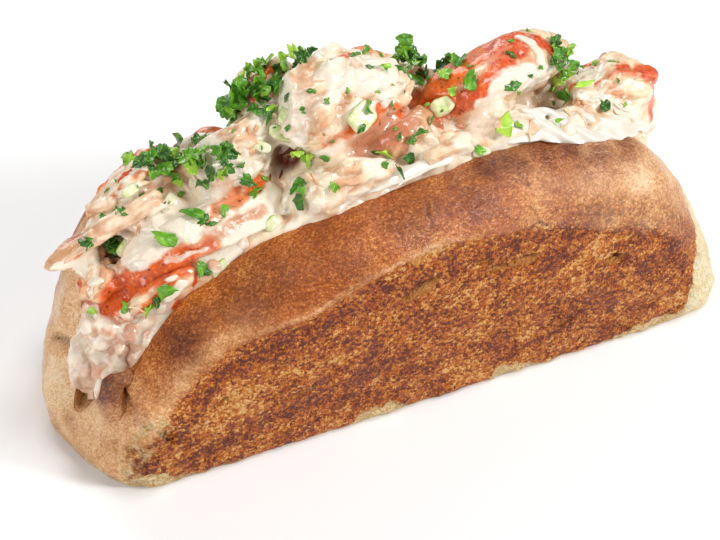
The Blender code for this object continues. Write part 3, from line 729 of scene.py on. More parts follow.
# %% The pieces, the same as their solids, and how each looks
Piece = namedtuple("Piece", "name centre size turn taper bend lump seed kind red cover dress")
PIECES = (  # red is where the skin faces, cover how much of the piece it takes, dress how much is coated
    Piece("claw", (26, 2, 57.5), (39, 17, 15), (8, 12, -15), 0.25, 2.5, 0.06, 1,
          "claw", (-0.6, -0.5, 0.5), 0.62, 0.30),
    Piece("tail_end", (52, -2, 47), (23, 16, 17), (15, 0, 0), -0.1, 0, 0.10, 2,
          "tail", (0.9, -0.1, 0.35), 0.24, 0.42),
    Piece("tail_scrap", (58, 7, 46), (15, 9, 9), (-10, 5, 0), 0.2, 1, 0.12, 3,
          "tail", (0.5, 0, 0.8), 0.25, 0.40),
    Piece("tail_middle", (-10, 2, 62), (29, 20, 21), (12, 14, 0), 0.1, 1, 0.12, 4,
          "tail", (0.4, 0.5, 0.8), 0.16, 0.50),
    Piece("knuckle", (2.5, -4.5, 53.5), (18, 11, 12), (10, 10, 0), 0.1, 1, 0.08, 5,
          "knuckle", (-0.6, -0.2, 0.7), 0.30, 0.20),
    Piece("front_tail", (-14, -8, 49.5), (26, 13, 15), (5, 4, 0), 0.1, 1, 0.12, 6,
          "tail", (-0.8, 0.3, 0.3), 0.12, 0.52),
    Piece("left_tail", (-31, 3, 57), (27, 16, 14), (8, 10, 0), -0.1, 1, 0.10, 7,
          "tail", (-0.5, -0.6, 0.2), 0.20, 0.55),
    Piece("claw_leaf", (-43, -5, 44.5), (38, 18, 10), (6, 8, 24), -0.2, 2, 0.06, 8,
          "claw", (-0.1, -0.95, -0.1), 0.44, 0.55),
    Piece("leg", (-57.5, 2, 47.5), (29, 5, 5), (10, 12, 0), -0.45, 2.5, 0.04, 9,
          "knuckle", (0, 0.3, -0.9), 0.36, 0.25),
    Piece("left_back_tail", (-52, 7, 49.5), (25, 12, 14), (8, 8, 0), -0.2, 1.5, 0.10, 10,
          "tail", (-0.5, -0.3, 0.7), 0.34, 0.48),
    Piece("left_tip", (-69, 2.5, 42), (14, 7, 5), (8, 2, 10), -0.5, 0.5, 0.08, 11,
          "knuckle", (0, 0, -1), 0.2, 0.15),
    Piece("left_curl", (-64.5, -3, 38), (13, 8, 8), (20, -10, 0), -0.2, 1, 0.12, 12,
          "tail", (-0.8, 0, -0.4), 0.25, 0.30),
    Piece("left_low", (-63.5, -6, 30), (15, 12, 13), (0, 0, 0), 0, 0, 0.12, 13,
          "claw", (-0.7, -0.1, 0.6), 0.34, 0.62),
    Piece("notch_piece", (-69.5, -4, 20), (10, 9, 14), (25, 0, 0), -0.2, 0.5, 0.14, 14,
          "tail", (-0.3, -0.8, -0.4), 0.30, 0.62),
    Piece("claw_tip", (-55, -10.5, 37.5), (20, 7, 9), (4, 14, 20), -0.35, 1.5, 0.05, 15,
          "claw", (0.2, -0.5, 0.8), 0.50, 0.22),
    Piece("rim_left", (9.5, -10, 52), (16, 8, 7), (0, 3, 0), 0.1, 0.5, 0.14, 16,
          "tail", (0, -0.3, -0.9), 0.1, 0.50),
    Piece("rim_middle", (24, -9, 52.5), (15, 9, 7), (0, 0, 0), 0.1, 0.5, 0.14, 17,
          "tail", (0, -0.3, -0.9), 0.1, 0.45),
    Piece("rim_right", (39, -9, 49.5), (16, 8, 6), (0, -8, 0), 0.2, 0.5, 0.14, 18,
          "tail", (0.2, -0.7, -0.7), 0.2, 0.50),
    Piece("back_top", (-23, 11, 64), (15, 10, 10), (10, 10, 0), 0.1, 0.5, 0.12, 19,
          "tail", (-0.3, -0.8, 0.5), 0.30, 0.30),
    Piece("back_middle", (4, 12, 57), (22, 11, 13), (-5, 0, 0), 0.1, 1, 0.12, 20,
          "tail", (0.2, 0.9, 0.4), 0.25, 0.45),
    Piece("back_right", (36, 11, 50), (24, 10, 10), (-5, -8, 0), 0.2, 1, 0.10, 21,
          "claw", (0.2, 0.9, 0.4), 0.45, 0.35),
    Piece("back_left", (-35, 13, 52), (17, 7, 7), (3, 3, 0), 0.1, 0.5, 0.12, 22,
          "knuckle", (0, 0.8, 0.5), 0.25, 0.40),
)
Kind = namedtuple("Kind", "bundle strand curd fray chunk cuts blunt")
KINDS = {  # relief in millimetres, then how many tears, and how blunt the ends are
    "tail": Kind(1.7, 0.7, 0.55, 1.8, 1.5, 4, 3.2),
    "claw": Kind(0.5, 0.25, 0.35, 0.5, 0.6, 0, 2.4),
    "knuckle": Kind(0.45, 0.25, 0.35, 0.6, 0.5, 1, 2.4),
}
POINTS_PER_MM = 3.4
print(len(PIECES), "pieces of meat, up to", max(piece.size[0] for piece in PIECES), "mm long")


# %% A bolster of meat on a grid
WAVES = ((1.0, 2, 2.1), (0.8, 3, -3.4), (0.7, 1, 5.0), (0.5, 4, 6.0))  # size, turns round, radians along
CORE_SHARE, ARCH_DROP = 0.75, 0.6  # the middle line's length, and how far its ends hang below the middle
TORN_AT, TORN_OFF = 0.66, 0.8  # how far out a tear starts, and how much of what is beyond it goes


def turn_matrix(heading, pitch, roll):
    """Roll about the piece's own length, then pitch up, then heading."""
    heading, pitch, roll = np.radians([heading, pitch, roll])
    turned = Matrix.Rotation(heading, 3, "Z") @ Matrix.Rotation(-pitch, 3, "Y")
    return np.array(turned @ Matrix.Rotation(roll, 3, "X"))


def bolster(piece):
    """(skin, core, local): the skin's grid, the line point that each hangs on, and its place before turning.

    Along the length the radius is a blunt ellipse, narrowed to one end; round it, sine waves make it uneven.
    A few planes, each a little inside the skin, press it flat where the meat tore.
    """
    length, width, height = piece.size
    kind = KINDS[piece.kind]
    rows = int(length * POINTS_PER_MM) + 20
    sides = int((width + height) * 1.3 * POINTS_PER_MM) + 16
    along = np.sin(np.linspace(-np.pi / 2, np.pi / 2, rows))[:, None]
    round_it = np.linspace(0, 2 * np.pi, sides, endpoint=False)[None]
    radius = (1 - np.abs(along) ** kind.blunt).clip(0) ** 0.5 * (1 - piece.taper * along)
    random = np.random.default_rng(piece.seed)
    phase = random.uniform(0, 2 * np.pi, len(WAVES))
    uneven = sum(
        size * np.sin(turns * round_it + run * along + shift)
        for (size, turns, run), shift in zip(WAVES, phase)
    )
    radius = radius * (1 + piece.lump * uneven)
    arch = piece.bend * (1 - along**2 - ARCH_DROP)
    x = along * length / 2 + 0 * round_it
    local = np.stack([x, radius * width / 2 * np.cos(round_it), radius * height / 2 * np.sin(round_it)], -1)
    for _ in range(kind.cuts):
        toward = random.normal(size=3) * (0.6, 1.0, 1.0)
        toward /= np.linalg.norm(toward)
        reach = local @ toward
        over = (reach - TORN_AT * reach.max()).clip(0)
        local = local - toward * (TORN_OFF * over)[..., None]
    away = local * (0, 1, 1)
    away = away / np.linalg.norm(away, axis=-1, keepdims=True).clip(0.4)
    local = local + away * (kind.chunk * rough(local, 6.5, piece.seed + 60, 2))[..., None]
    end = fade(np.abs(along), 0.72, 1.0)
    across = local * (0, 1, 1)
    torn = blobs(across, 2.2, piece.seed + 61) + 0.5 * blobs(across, 1.1, piece.seed + 62)
    local[..., 0] += kind.fray * end * torn * np.sign(along)
    local[..., 2] += arch[:, 0][:, None]
    local[[0, -1]] = local[[0, -1]].mean(1, keepdims=True)
    core = np.stack([CORE_SHARE * x, 0 * x, arch + 0 * x], -1)
    rotate = turn_matrix(*piece.turn).T
    return local @ rotate + piece.centre, core @ rotate + piece.centre, local


print("the claw's grid:", bolster(PIECES[0])[0].shape[:2])

# %% Press neighbours flat, and give meat its fibres
PRESS_REACH, LEAST_SHARE, GAP = 1.4, 0.02, 0.35  # how near neighbours press, and the gap left, in millimetres


def nearest_between(a0, a1, b0, b1):
    """The closest points of two straight lines between end points, found on a fine grid of both."""
    share = np.linspace(0, 1, 61)[:, None]
    a, b = a0 + (a1 - a0) * share, b0 + (b1 - b0) * share
    apart = np.linalg.norm(a[:, None] - b[None], axis=-1)
    i, j = np.unravel_index(np.argmin(apart), apart.shape)
    return a[i], b[j], apart[i, j]


def press_apart(skins, cores):
    """Neighbours meet at a flat face between their middle lines, shared out by how thick each is."""
    lines = [(core[len(core) // 10].mean(0), core[-1 - len(core) // 10].mean(0)) for core in cores]
    width = [0.25 * (piece.size[1] + piece.size[2]) for piece in PIECES]
    for i in range(len(PIECES)):
        for j in range(i + 1, len(PIECES)):
            near_i, near_j, apart = nearest_between(*lines[i], *lines[j])
            if apart > PRESS_REACH * (width[i] + width[j]) + GAP:
                continue
            toward = (near_j - near_i) / apart
            meet = near_i + toward * apart * width[i] / (width[i] + width[j])
            for k, sign in ((i, 1.0), (j, -1.0)):
                room = (meet - cores[k]) @ (sign * toward) - GAP / 2
                reach = (skins[k] - cores[k]) @ (sign * toward)
                share = np.where(reach > room, room / np.maximum(reach, 1e-6), 1.0).clip(LEAST_SHARE, 1)
                skins[k] = cores[k] + (skins[k] - cores[k]) * share[..., None]


def meat_relief(local, kind, seed):
    """(height, hollow) of the fibres, in mm: creased bundles, finer strands in them, and curds on top."""
    sway = [0 * local[..., 0], blobs(local, 5.0, seed), blobs(local, 5.0, seed + 1)]
    warped = local + 0.9 * np.stack(sway, -1)
    bundle = np.abs(blobs(warped, (8.0, 2.6, 2.6), seed + 2))
    strand = np.abs(blobs(warped, (4.0, 1.1, 1.1), seed + 3))
    curd, _ = scattered(warped, (2.0, 1.6, 1.6), seed + 4)
    curd = np.sqrt((1 - (curd / 0.75) ** 2).clip(0)) * fade(blobs(local, 6.0, seed + 5), -0.3, 0.4)
    height = kind.bundle * (bundle - 0.35) + kind.strand * (strand - 0.35) + kind.curd * (curd - 0.4)
    return height, fade(-bundle - 0.4 * strand, -0.38, -0.04)


print("tail meat along a line:", meat_relief(LINE, KINDS["tail"], 1)[0].round(2), "mm")

# %% [markdown]
# Lobster meat is white muscle, a little see-through. Its pigment sits only in a thin skin, orange on the claw
# and deeper red where it was thickest, with dark specks. Each patch of skin, each thick fold of dressing and
# each crease is listed as a stroke through a few points on the heap, as a painter would lay it, and a stroke
# takes in whatever lies near it: meat and dressing alike.

# %% Strokes of skin
RED = (  # points, half width in mm, strength, and hue: 0 is orange, 1 is red
    (((9, 1, 56.5), (12, 1.5, 60), (15.5, 1.5, 63.5), (21, 3, 66)), 4.7, 1, 0),
    (((13, -4.4, 58.6), (16.5, -6, 61.4), (20.5, -6, 63.6), (25.6, -4, 65.2)), 2.7, 1, 0.7),
    (((22, 1.5, 66.4), (27, 3, 66.4), (31.5, 3, 66.2)), 3, 0.95, 0.8),
    (((23, -3.4, 65.2), (27, -1.4, 66), (31, -0.6, 66.2)), 1.9, 0.8, 0.85),
    (((9.6, -3, 57.6), (12.4, -4.6, 58.6)), 1.8, 1, 0.5),
    (((33.5, 3.4, 66), (36.2, 1.2, 65.2), (37.8, -0.6, 63)), 1.4, 0.85, 0.9),
    (((-65.6, -7, 35.2), (-62.4, -7.6, 39.2), (-58.8, -10.2, 41.7), (-54.8, -11.5, 43.6),
        (-50.4, -11.8, 45.2)), 3.1, 0.95, 0.4),
    (((-50.4, -11.8, 45.2), (-47.6, -12.2, 45.8), (-45, -12.2, 46.2)), 2.2, 0.62, 0.7),
    (((-61.6, -11.8, 34.6), (-59.4, -13.6, 38.2), (-56.4, -14.2, 39.8), (-53.6, -14, 41.2)), 1.2, 1, 0.15),
    (((-43.4, -6, 49.6), (-40.4, -5, 50.3), (-35.6, -4.6, 51.1)), 2.1, 0.62, 0.1),
    (((-32.6, -4.2, 51.4), (-30, -2.8, 51.4), (-28, -0.8, 51)), 1.4, 1, 0),
    (((-48.8, -13, 42), (-49.2, -14.4, 39.4), (-51.4, -15.4, 37.3), (-53.8, -15, 35.6)), 0.55, 1, 0.8),
    (((-57, 5.6, 56), (-53.5, 6, 57.2), (-51.5, 7.5, 57.6)), 0.9, 0.9, 0.9),
    (((-58.4, 4, 52.6), (-54.6, 4, 54.6), (-51, 4.6, 56)), 0.7, 0.7, 0.8),
    (((-55, 9.5, 55.5), (-50.5, 10.5, 57)), 0.7, 0.8, 0.8),
    (((-48, 1, 52), (-46.5, 2, 52.5)), 0.8, 0.9, 0.8),
    (((-70.4, -2.5, 39.5), (-69.6, -5, 37.4), (-67.8, -7, 35.5)), 0.9, 0.9, 0.8),
    (((-68, -8.5, 33), (-66, -10, 31)), 1, 0.5, 0.5),
    (((-68.9, -10.6, 20), (-68.4, -10.8, 18)), 1.8, 0.5, 0.1),
    (((-49.8, -0.1, 49.8), (-55.7, -0.7, 48.8), (-61.4, -1, 47.4), (-65.4, -1.6, 46), (-69.4, -1, 44)),
        0.55, 0.7, 0.1),
    (((-60.6, -3.6, 43.4), (-59.4, -1.8, 44.8), (-57, -0.8, 46.6), (-53.6, 0, 48.4)), 0.4, 0.55, 0.9),
    (((-15.6, -7.3, 60.8), (-12.6, -7.8, 61.6), (-10, -7.6, 62.4), (-6.5, -6.6, 62.6)), 2, 0.95, 0.1),
    (((-4.6, -5.6, 64.2), (-1.5, -4.8, 63.4), (1.2, -4.6, 61.4)), 1.2, 0.95, 0.15),
    (((-10, 2.4, 74.4), (-7.6, 3, 73.4), (-4, 4.4, 71.6)), 0.8, 0.7, 0.9),
    (((-27.4, 6.4, 66), (-27.6, 5, 64.8)), 1, 0.9, 0.8),
    (((53, -3.6, 56.6), (57.5, -3.6, 55), (61, -4, 52.6), (63.4, -4.2, 48), (62.4, -5.4, 41.5)),
        1.5, 0.8, 0.8),
    (((60.4, -3, 54), (63, -3.4, 51.4)), 2.2, 0.9, 0.7),
    (((48.5, -3.2, 54.4), (53, -3.8, 56.4)), 0.7, 0.7, 0.9),
    (((40.6, -0.4, 51), (43.6, -1.4, 53.4)), 0.9, 0.8, 0.8),
    (((31.5, -14.2, 50), (34.5, -14.8, 49.4)), 0.6, 0.8, 0.3),
    (((-22, 6.4, 66), (-25.6, 6, 67.6), (-27, 8, 68.6)), 0.7, 0.6, 0.8),
    (((58, 12, 44), (50, 14, 48)), 2, 0.7, 0.6), (((30, 14.5, 51), (42, 15, 49)), 2.4, 0.9, 0.4),
    (((-2, 14, 62), (8, 15, 59)), 1.8, 0.7, 0.7), (((-46, 14, 52), (-38, 15.5, 53)), 1.6, 0.8, 0.6),
    (((-24.6, -4.2, 54.4), (-27.2, -4.2, 52.4)), 0.6, 0.5, 0.2),
    (((-14, 6, 73.8), (-18, 6.6, 72.4)), 0.8, 0.4, 0.8),
)
print(len(RED), "strokes of skin")

# %% Strokes of pink flesh and of dressing
# the salmon is partly the flesh's own pink and partly painted shade, where meat lies in shade
FLUSH = (  # where the flesh turns salmon pink: points, half width, strength
    (((-66.5, -9.5, 27), (-68, -10, 21), (-71, -7, 13)), 6.4, 0.62),
    (((-9, -6.6, 58.4), (-5, -6, 59.4), (0.4, -5.6, 59)), 4.2, 1),
    (((-5, -7.6, 57.6), (-1, -8.2, 57.4)), 2.6, 1), (((-29, 8, 67.5), (-24, 8, 66)), 3.6, 0.8),
    (((-57.6, -1, 47.2), (-55, -3.8, 48.4)), 1.3, 0.4),
    (((-45, -10.6, 47.8), (-40.5, -10.2, 48.6), (-36, -9.6, 49.4), (-32, -8.8, 49.8)), 1.7, 0.75),
    (((56, 8, 50), (62, 6, 46)), 4, 0.5), (((-64, -4.5, 40.5), (-61, -4.5, 41.5)), 2.6, 0.45),
    (((-58.5, -12.6, 33), (-64, -11.5, 30)), 2.6, 0.5), (((46, -4, 53.4), (51, -5.4, 52)), 2.4, 0.3),
    (((-16, 8, 71), (-18, 4, 71), (-19, -1, 69), (-20, -5, 64)), 3.4, 0.4),
    (((-12.8, -6, 66.4), (-11, -4.6, 70.6)), 1.4, 0.5), (((-66.8, 2, 50), (-60, 4, 51.5)), 2, 0.35),
    (((8, 6, 62), (4, 4, 64)), 2.4, 0.5), (((-24, 3, 60), (-22, 0, 57.5)), 2, 0.5),
    (((14, -8.6, 56.4), (20, -9, 56.6), (27, -10, 55)), 2.4, 0.3), (((-30, 0, 60), (-36, 2, 62)), 3, 0.3),
    (((55, 9, 50.4), (50, 8, 50.6)), 2.6, 0.5), (((-14, -12, 54), (-20, -11.6, 52)), 2.6, 0.3),
)
FOLDS = (  # thick dressing that hides the skin: points, half width, strength, thickness in millimetres
    (((21, -4.2, 65.8), (25, 0, 66.4), (30, 4.4, 66.6), (34.6, 2.6, 66.2)), 1.5, 0.24, 0.2),
    (((32.6, 3, 66.6), (34.4, -1.2, 64.8), (33.4, -4.2, 61.2)), 1.1, 1, 0.7),
    (((22.8, -5.2, 64.8), (20, -6.4, 62.4)), 0.9, 0.6, 0.2),
    (((22, -6.2, 61.6), (26, -5.6, 62.4), (31, -4.8, 61), (35, -3.4, 59)), 2.8, 0.9, 0.3),
    (((17.4, -6.9, 60), (24, -7, 58.6)), 1.2, 0.7, 0.3),
    (((-58, -6, 45.4), (-53.4, -6, 47.8), (-48.6, -5.4, 49.4), (-45, -3, 49.9)), 3.5, 1, 0.6),
    (((-51.6, -1.6, 48.8), (-47.4, 0.2, 49.2)), 2.2, 1, 0.6),
    (((-53.5, -10.6, 45.4), (-49.5, -11.6, 46.2), (-46, -12.4, 46.2)), 0.7, 0.6, 0.2),
    (((-60.2, -12.2, 38.8), (-57, -12.6, 40.8), (-53.4, -13.2, 42.4)), 0.8, 0.85, 0.3),
    (((-52, -14.6, 40.6), (-54.6, -15, 38.2)), 1.3, 1, 0.4),
    (((-46, -13.2, 43), (-40, -13, 44.6)), 1.6, 0.9, 0.3),
    (((-56, 4.8, 55.2), (-50, 5.6, 57)), 0.8, 1, 0.4), (((-57.6, 9.5, 53), (-52, 8.6, 57.6)), 1, 0.8, 0.3),
    (((-7, -2.6, 70.4), (-3, -3.4, 68), (-1, -4.8, 65.6)), 2.6, 1, 0.5),
    (((0, -2, 68.4), (1, -4, 65.6)), 1.6, 0.8, 0.4),
    (((-22, -4.4, 60.4), (-27, -3.6, 57.4), (-31, -4, 55)), 2.6, 0.9, 0.3),
    (((-38, -3.2, 58.5), (-33, -4.4, 56)), 2.4, 0.9, 0.3), (((14, -9, 55), (20, -9.4, 56)), 1.6, 0.5, 0.2),
    (((44, -4, 52.6), (50, -6.6, 50), (57, -8, 46)), 1.4, 0.8, 0.3),
    (((-42.6, -7.4, 50.6), (-38.4, -8, 50.4)), 1, 0.8, 0.3),
    (((-64, -9.6, 30.6), (-60, -12, 31.6)), 1.3, 0.8, 0.4),
    (((-12, -13, 51.2), (-20, -12.8, 48.8), (-28, -12.8, 46.6)), 1.6, 0.9, 0.3),
)
print(len(FLUSH), "strokes of pink and", len(FOLDS), "of dressing")

# %% Creases, lumps and gaps
# each crease is also painted darker along its line, as shade
CREASES = (  # folds between lumps of meat: points, half width, depth
    (((-7.5, 1.4, 73.6), (-9.5, -3.4, 70.6), (-13, -6.6, 66.4), (-15.6, -7.4, 63)), 0.9, 1.2),
    (((-61, -6.6, 42.8), (-54, -9.4, 45.8), (-47, -11, 47.2), (-42.5, -11.2, 48.2)), 0.6, 0.7),
    (((-50.5, -0.9, 48.8), (-56.2, -1.6, 47.4), (-62, -2, 46), (-66.4, -2.8, 44.2)), 0.8, 1.7),
    (((-48.6, 3.6, 52.6), (-54.6, 2.8, 52.6), (-60.4, 2.2, 51.6)), 0.7, 0.9),
    (((-60.6, 1, 42.4), (-57, 2.4, 43.4)), 1.6, 1.4), (((40, 1, 53), (38.5, -2.6, 57)), 1.2, 1.6),
    (((7, -5.6, 58), (10, -5.6, 57), (12.6, -7, 56.4)), 1.1, 1.1),
    (((-58, -12.6, 37), (-62, -11.4, 34.6)), 0.8, 0.8), (((46, -5, 52), (55, -6.6, 50)), 0.7, 0.6),
    (((-38.8, -8.4, 49.6), (-34, -8.2, 50)), 0.6, 0.6),
    (((-26.4, -5, 52.4), (-28, -8, 50), (-28.4, -11.6, 47.6)), 0.8, 1),
    (((-60, -2.6, 40.6), (-64.4, -1.4, 41.4)), 1, 1), (((-65, -8, 28), (-62, -10.6, 27)), 0.9, 0.9),
    (((2, -8, 57.4), (4, -9.6, 55.4)), 0.8, 0.8), (((-66.6, -6, 31.4), (-69, -4, 30.6)), 1, 1.2),
)
LUMPS = (  # where a piece flares: centre, radius, height
    ((62.6, -3.2, 52.6), 2.4, 1.6), ((12, 3, 61), 4.5, 1),
)
RAISED = {"leg": 1.9, "claw_tip": 0.4}  # millimetres towards the eater, out of the dressing
TO_EATER = np.array((-0.33, -0.7, 0.63))  # from the heap, and also where things are dropped from
# the gaps are also painted dark brown, as shade, and their dressing is taken off
HOLES = (  # gaps that look down into the dark between pieces: points, half width, depth
    (((-25.8, 0.6, 49.2), (-24.8, 0, 52), (-23, -1.6, 55)), 2.6, 2.8),
    (((-22.6, -2.6, 56.4), (-21.6, -5.2, 58.6)), 0.9, 1.2),
    (((-61, 0.2, 41.6), (-58.6, 1, 42.8)), 1.6, 1.4),
)
print(len(CREASES), "creases,", len(LUMPS), "lumps and", len(HOLES), "gaps")


# %% Paint the strokes on points
PAINTED = ("red", "hue", "flush_and_shade", "dressed", "shaded_hollow", "gap_shade")


def painted(points):
    """(marks, push): the marks that the strokes leave on the points, and how far they push them outwards."""
    wander = np.stack([blobs(points, 3.0, 300 + k) + 0.6 * blobs(points, 1.1, 303 + k) for k in range(3)], -1)
    place = points + 0.55 * wander
    red, hue, flush_and_shade, dressed, push, shaded_hollow, gap_shade = (np.zeros(points.shape[:-1]) for _ in range(7))
    for line, half_width, strength, hue_here in RED:
        here = strength * fade(-off_line(place, line) / half_width, -1.5, -0.5)
        hue = np.where(here > red, hue_here, hue)
        red = np.maximum(red, here)
    for line, half_width, strength in FLUSH:
        flush_and_shade = np.maximum(flush_and_shade, strength * fade(-off_line(place, line) / half_width, -1.4, -0.5))
    for line, half_width, strength, thick in FOLDS:
        here = fade(-off_line(place, line) / half_width, -1.3, -0.8)
        dressed = np.maximum(dressed, strength * here)
        push = np.maximum(push, thick * here)
    # creases and gaps also leave marks that the finish paints as shade
    for line, half_width, depth in CREASES:
        here = np.exp(-((off_line(place, line) / half_width) ** 2))
        push = push - depth * here
        shaded_hollow = np.maximum(shaded_hollow, here * min(depth, 1.0))
    for line, half_width, depth in HOLES:
        here = fade(-off_line(points + 0.3 * wander, line) / half_width, -1.25, -0.75)
        push = push - depth * here
        gap_shade = np.maximum(gap_shade, here)
    for centre, radius, height in LUMPS:
        push = push + height * np.exp(-(((points - centre) ** 2).sum(-1) / radius**2))
    dressed = dressed * (1 - gap_shade)
    return dict(zip(PAINTED, (red, hue, flush_and_shade, dressed, shaded_hollow, gap_shade))), push


crest = painted(np.array((21.0, 3.0, 66.0)))[0]
print("on the claw's crest:", {name: float(value.round(2)) for name, value in crest.items()})

# %% [markdown]
# The shader stacks its coats as the meat does: flesh, its pink flush, then skin, then a film of dressing,
# each let through by its mark on the points and torn by noise. The pink flush also stands in for meat lying
# in shade, and creases and gaps are painted darker, as shade. Over all of it is a thin wet coat, which gives
# the small sharp highlights.

# %% The lobster's finish
FRECKLE_APART = 1.4  # millimetres


def lobster(name, flesh, deep):
    """Cooked lobster under dressing: flesh and its deeper tone mixed by noise, with painted shade in creases
    and gaps.
    """
    material, tree, shader, coords, mark = new_finish(name, PAINTED)
    fine = grain(tree, coords, 0.45, 3.0, rough_share=0.6)
    middling = grain(tree, coords, 1.5, 3.0)
    broad = grain(tree, coords, 4.5, 2.0)

    def torn(name, by_fine, by_middling):
        """A mark whose edge is torn by noise."""
        return sum_of(tree, (mark[name], 1.0), (fine, by_fine), (middling, by_middling),
                      (-0.5, by_fine + by_middling))

    speck = add(tree, "TexVoronoi", {"Vector": coords, "Scale": 1 / (FRECKLE_APART * MM), "Randomness": 1.0})
    speck = add(tree, "MapRange", {0: speck, 1: 0.3, 2: 0.16})
    some = add(tree, "MapRange", {0: fine, 1: 0.42, 2: 0.6})
    freckle = add(tree, "Math", {0: speck, 1: some}, operation="MULTIPLY")
    skin = coated(
        tree, "#e86c14", (mark["hue"], 0.0, 1.0, 1.0, "#d04826"), (middling, 0.46, 0.66, 0.45, "#a83416"),
        (fine, 0.52, 0.66, 0.45, "#f09a58"), (freckle, 0.0, 1.0, 1.0, "#5a1410"),
    )
    body = coated(
        tree, flesh,
        (sum_of(tree, (middling, 1.0), (broad, 1.0)), 0.88, 1.22, 1.0, deep),
        # painted shade in the creases and in the valleys of the fibres
        (mark["shaded_hollow"], 0.0, 1.0, 0.65, "#c48458"),
        # salmon pink flesh, partly painted shade where meat lies in shade
        (torn("flush_and_shade", 0.2, 0.6), 0.0, 1.0, 0.9, "#c87c58"),
        (torn("red", 0.5, 0.9), 0.12, 0.5, 0.7, "#e39468"),  # thin skin at the edges
        (torn("red", 0.7, 1.0), 0.35, 0.8, 1.0, skin),
        (torn("dressed", 0.45, 0.65), 0.2, 0.78, 0.88, "#f2e7d4"),
        # painted shade in the gaps between pieces
        (mark["gap_shade"], 0.0, 1.0, 1.0, "#6e2e14"),
    )
    film = grain(tree, coords, 0.9, 2.0)
    wet = add(tree, "Bump", {"Height": film, "Strength": 0.5, "Distance": 0.4 * MM})
    bump = add(tree, "Bump", {"Height": fine, "Strength": 0.45, "Distance": 0.25 * MM, "Normal": wet})
    # less wet coat over the gaps, whose painted shade shows no reflection
    gap_coat = add(tree, "MapRange", {0: mark["gap_shade"], 3: 0.85, 4: 0.1})
    plug(tree, shader, {
        "Base Color": body, "Roughness": 0.45, "IOR": 1.4, "Normal": bump, "Specular IOR Level": 0.4,
        "Coat Weight": gap_coat, "Coat Roughness": 0.07, "Coat IOR": 1.42, "Coat Normal": wet,
        "Subsurface Weight": 0.2, "Subsurface Radius": (1.0, 0.5, 0.3), "Subsurface Scale": 1.3 * MM,
    })
    return material


MEATS = {
    "tail": lobster("cooked_tail_meat", "#f0d6b2", "#e0a87c"),
    "claw": lobster("cooked_claw_meat", "#efd3ae", "#dca078"),
    # knuckle meat is pinker and darker than tail meat; its darker tone is partly painted shade
    "knuckle": lobster("cooked_knuckle_meat", "#dcab80", "#b0643e"),
    "leg": lobster("cooked_leg_meat", "#f2dabc", "#e0ac84"),
    "dressing": lobster("mayonnaise_with_shreds", "#f1e2c8", "#e6bf98"),
}
print("finishes:", [finish.name for finish in MEATS.values()])

# %% Make the pieces
bolsters = [bolster(piece) for piece in PIECES]
skins, cores = [b[0] for b in bolsters], [b[1] for b in bolsters]
press_apart(skins, cores)
for piece, skin, (_, core, local) in zip(PIECES, skins, bolsters):
    normal = normals_of(skin)
    if ((skin - core) * normal).sum() < 0:
        normal = -normal
    soft = normal.copy()
    for _ in range(6):
        soft = soft + np.roll(soft, 1, 1) + np.roll(soft, -1, 1)
        soft[1:-1] = soft[1:-1] + soft[2:] + soft[:-2]
        soft /= np.linalg.norm(soft, axis=-1, keepdims=True).clip(1e-9)
    relief, deep = meat_relief(local, KINDS[piece.kind], 80 + 10 * piece.seed)
    facing_red = soft @ (np.array(piece.red) / np.linalg.norm(piece.red))
    streaks = 0.35 * rough(local, (5.0, 2.2, 2.2), piece.seed + 500)
    streaks = streaks + 0.25 * blobs(skin, 7.0, piece.seed + 501)
    skin = skin + RAISED.get(piece.name, 0.0) * TO_EATER
    marks, push = painted(skin)
    far = fade(skin[..., 1], 6.0, 10.0)  # the strokes give the near side, a rule gives the far one
    by_rule = far * fade(facing_red + streaks, 1 - 2 * piece.cover, 1.25 - 2 * piece.cover)
    marks["red"] = np.maximum(marks["red"], by_rule)
    cling = fade(piece.dress + 0.5 * rough(skin, 8.0, piece.seed + 510) - 0.7 * marks["red"], 0.45, 0.6)
    marks["dressed"] = np.maximum(marks["dressed"], cling * (1 - 0.9 * marks["flush_and_shade"]) * (1 - marks["gap_shade"]))
    # the valleys of the fibres are painted in shade
    marks["shaded_hollow"] = np.maximum(marks["shaded_hollow"], deep)
    poles = fade(np.abs(np.linspace(-1, 1, len(skin))), 0.96, 1.0)[:, None]
    relief = relief * (1 - 0.65 * cling) * (1 - 0.8 * poles) * (1 - 0.4 * marks["red"])
    height = relief + 0.3 * np.sqrt(cling) + push
    points = skin + soft * height[..., None]
    points[[0, -1]] = points[[0, -1]].mean(1, keepdims=True)
    flat, faces = closed_grid(points[None])
    marks = {name: grid_marks(values[None]) for name, values in marks.items()}
    finish = MEATS.get(piece.name, MEATS[piece.kind])
    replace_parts(add_piece(piece.name + "_meat", flat, faces, finish, marks), piece.name)

# %% [markdown]
# ## The dressing between the pieces
# Mayonnaise and small shreds fill every gap of the heap and pool where two pieces meet. That is what is left
# when the whole heap is copied, swollen until its gaps close, and then melted: a smoothed surface sinks on
# every crest and rises in every hollow. Drawn back under the crests, only the pools and fillets still show.

# %% Balls of dressing for the gaps
GAPS = (  # where dressing lies thick between pieces: centre and radius
    ((44, 6, 48), 8), ((60, 1, 40), 8), ((-52, -2, 42), 8), ((-64, -6, 24), 6.5), ((-60, 2, 32), 9),
    ((-19, 2, 50), 8.5), ((14, 3, 50), 9), ((-6, 8, 54), 8), ((-36, 6, 48), 9), ((-66, -9, 17), 5),
    ((-58, -9, 27), 6), ((22, 8, 50), 9), ((-5.5, -3.4, 54.2), 3.8),
)
EDGE_BALL, EDGE_STEP = 4.6, 3.0  # a row of balls leans against the split's edge: radius and spacing
EDGE_IN, EDGE_DOWN = 1.6, 2.2  # how far they stand out over it, and how far below it


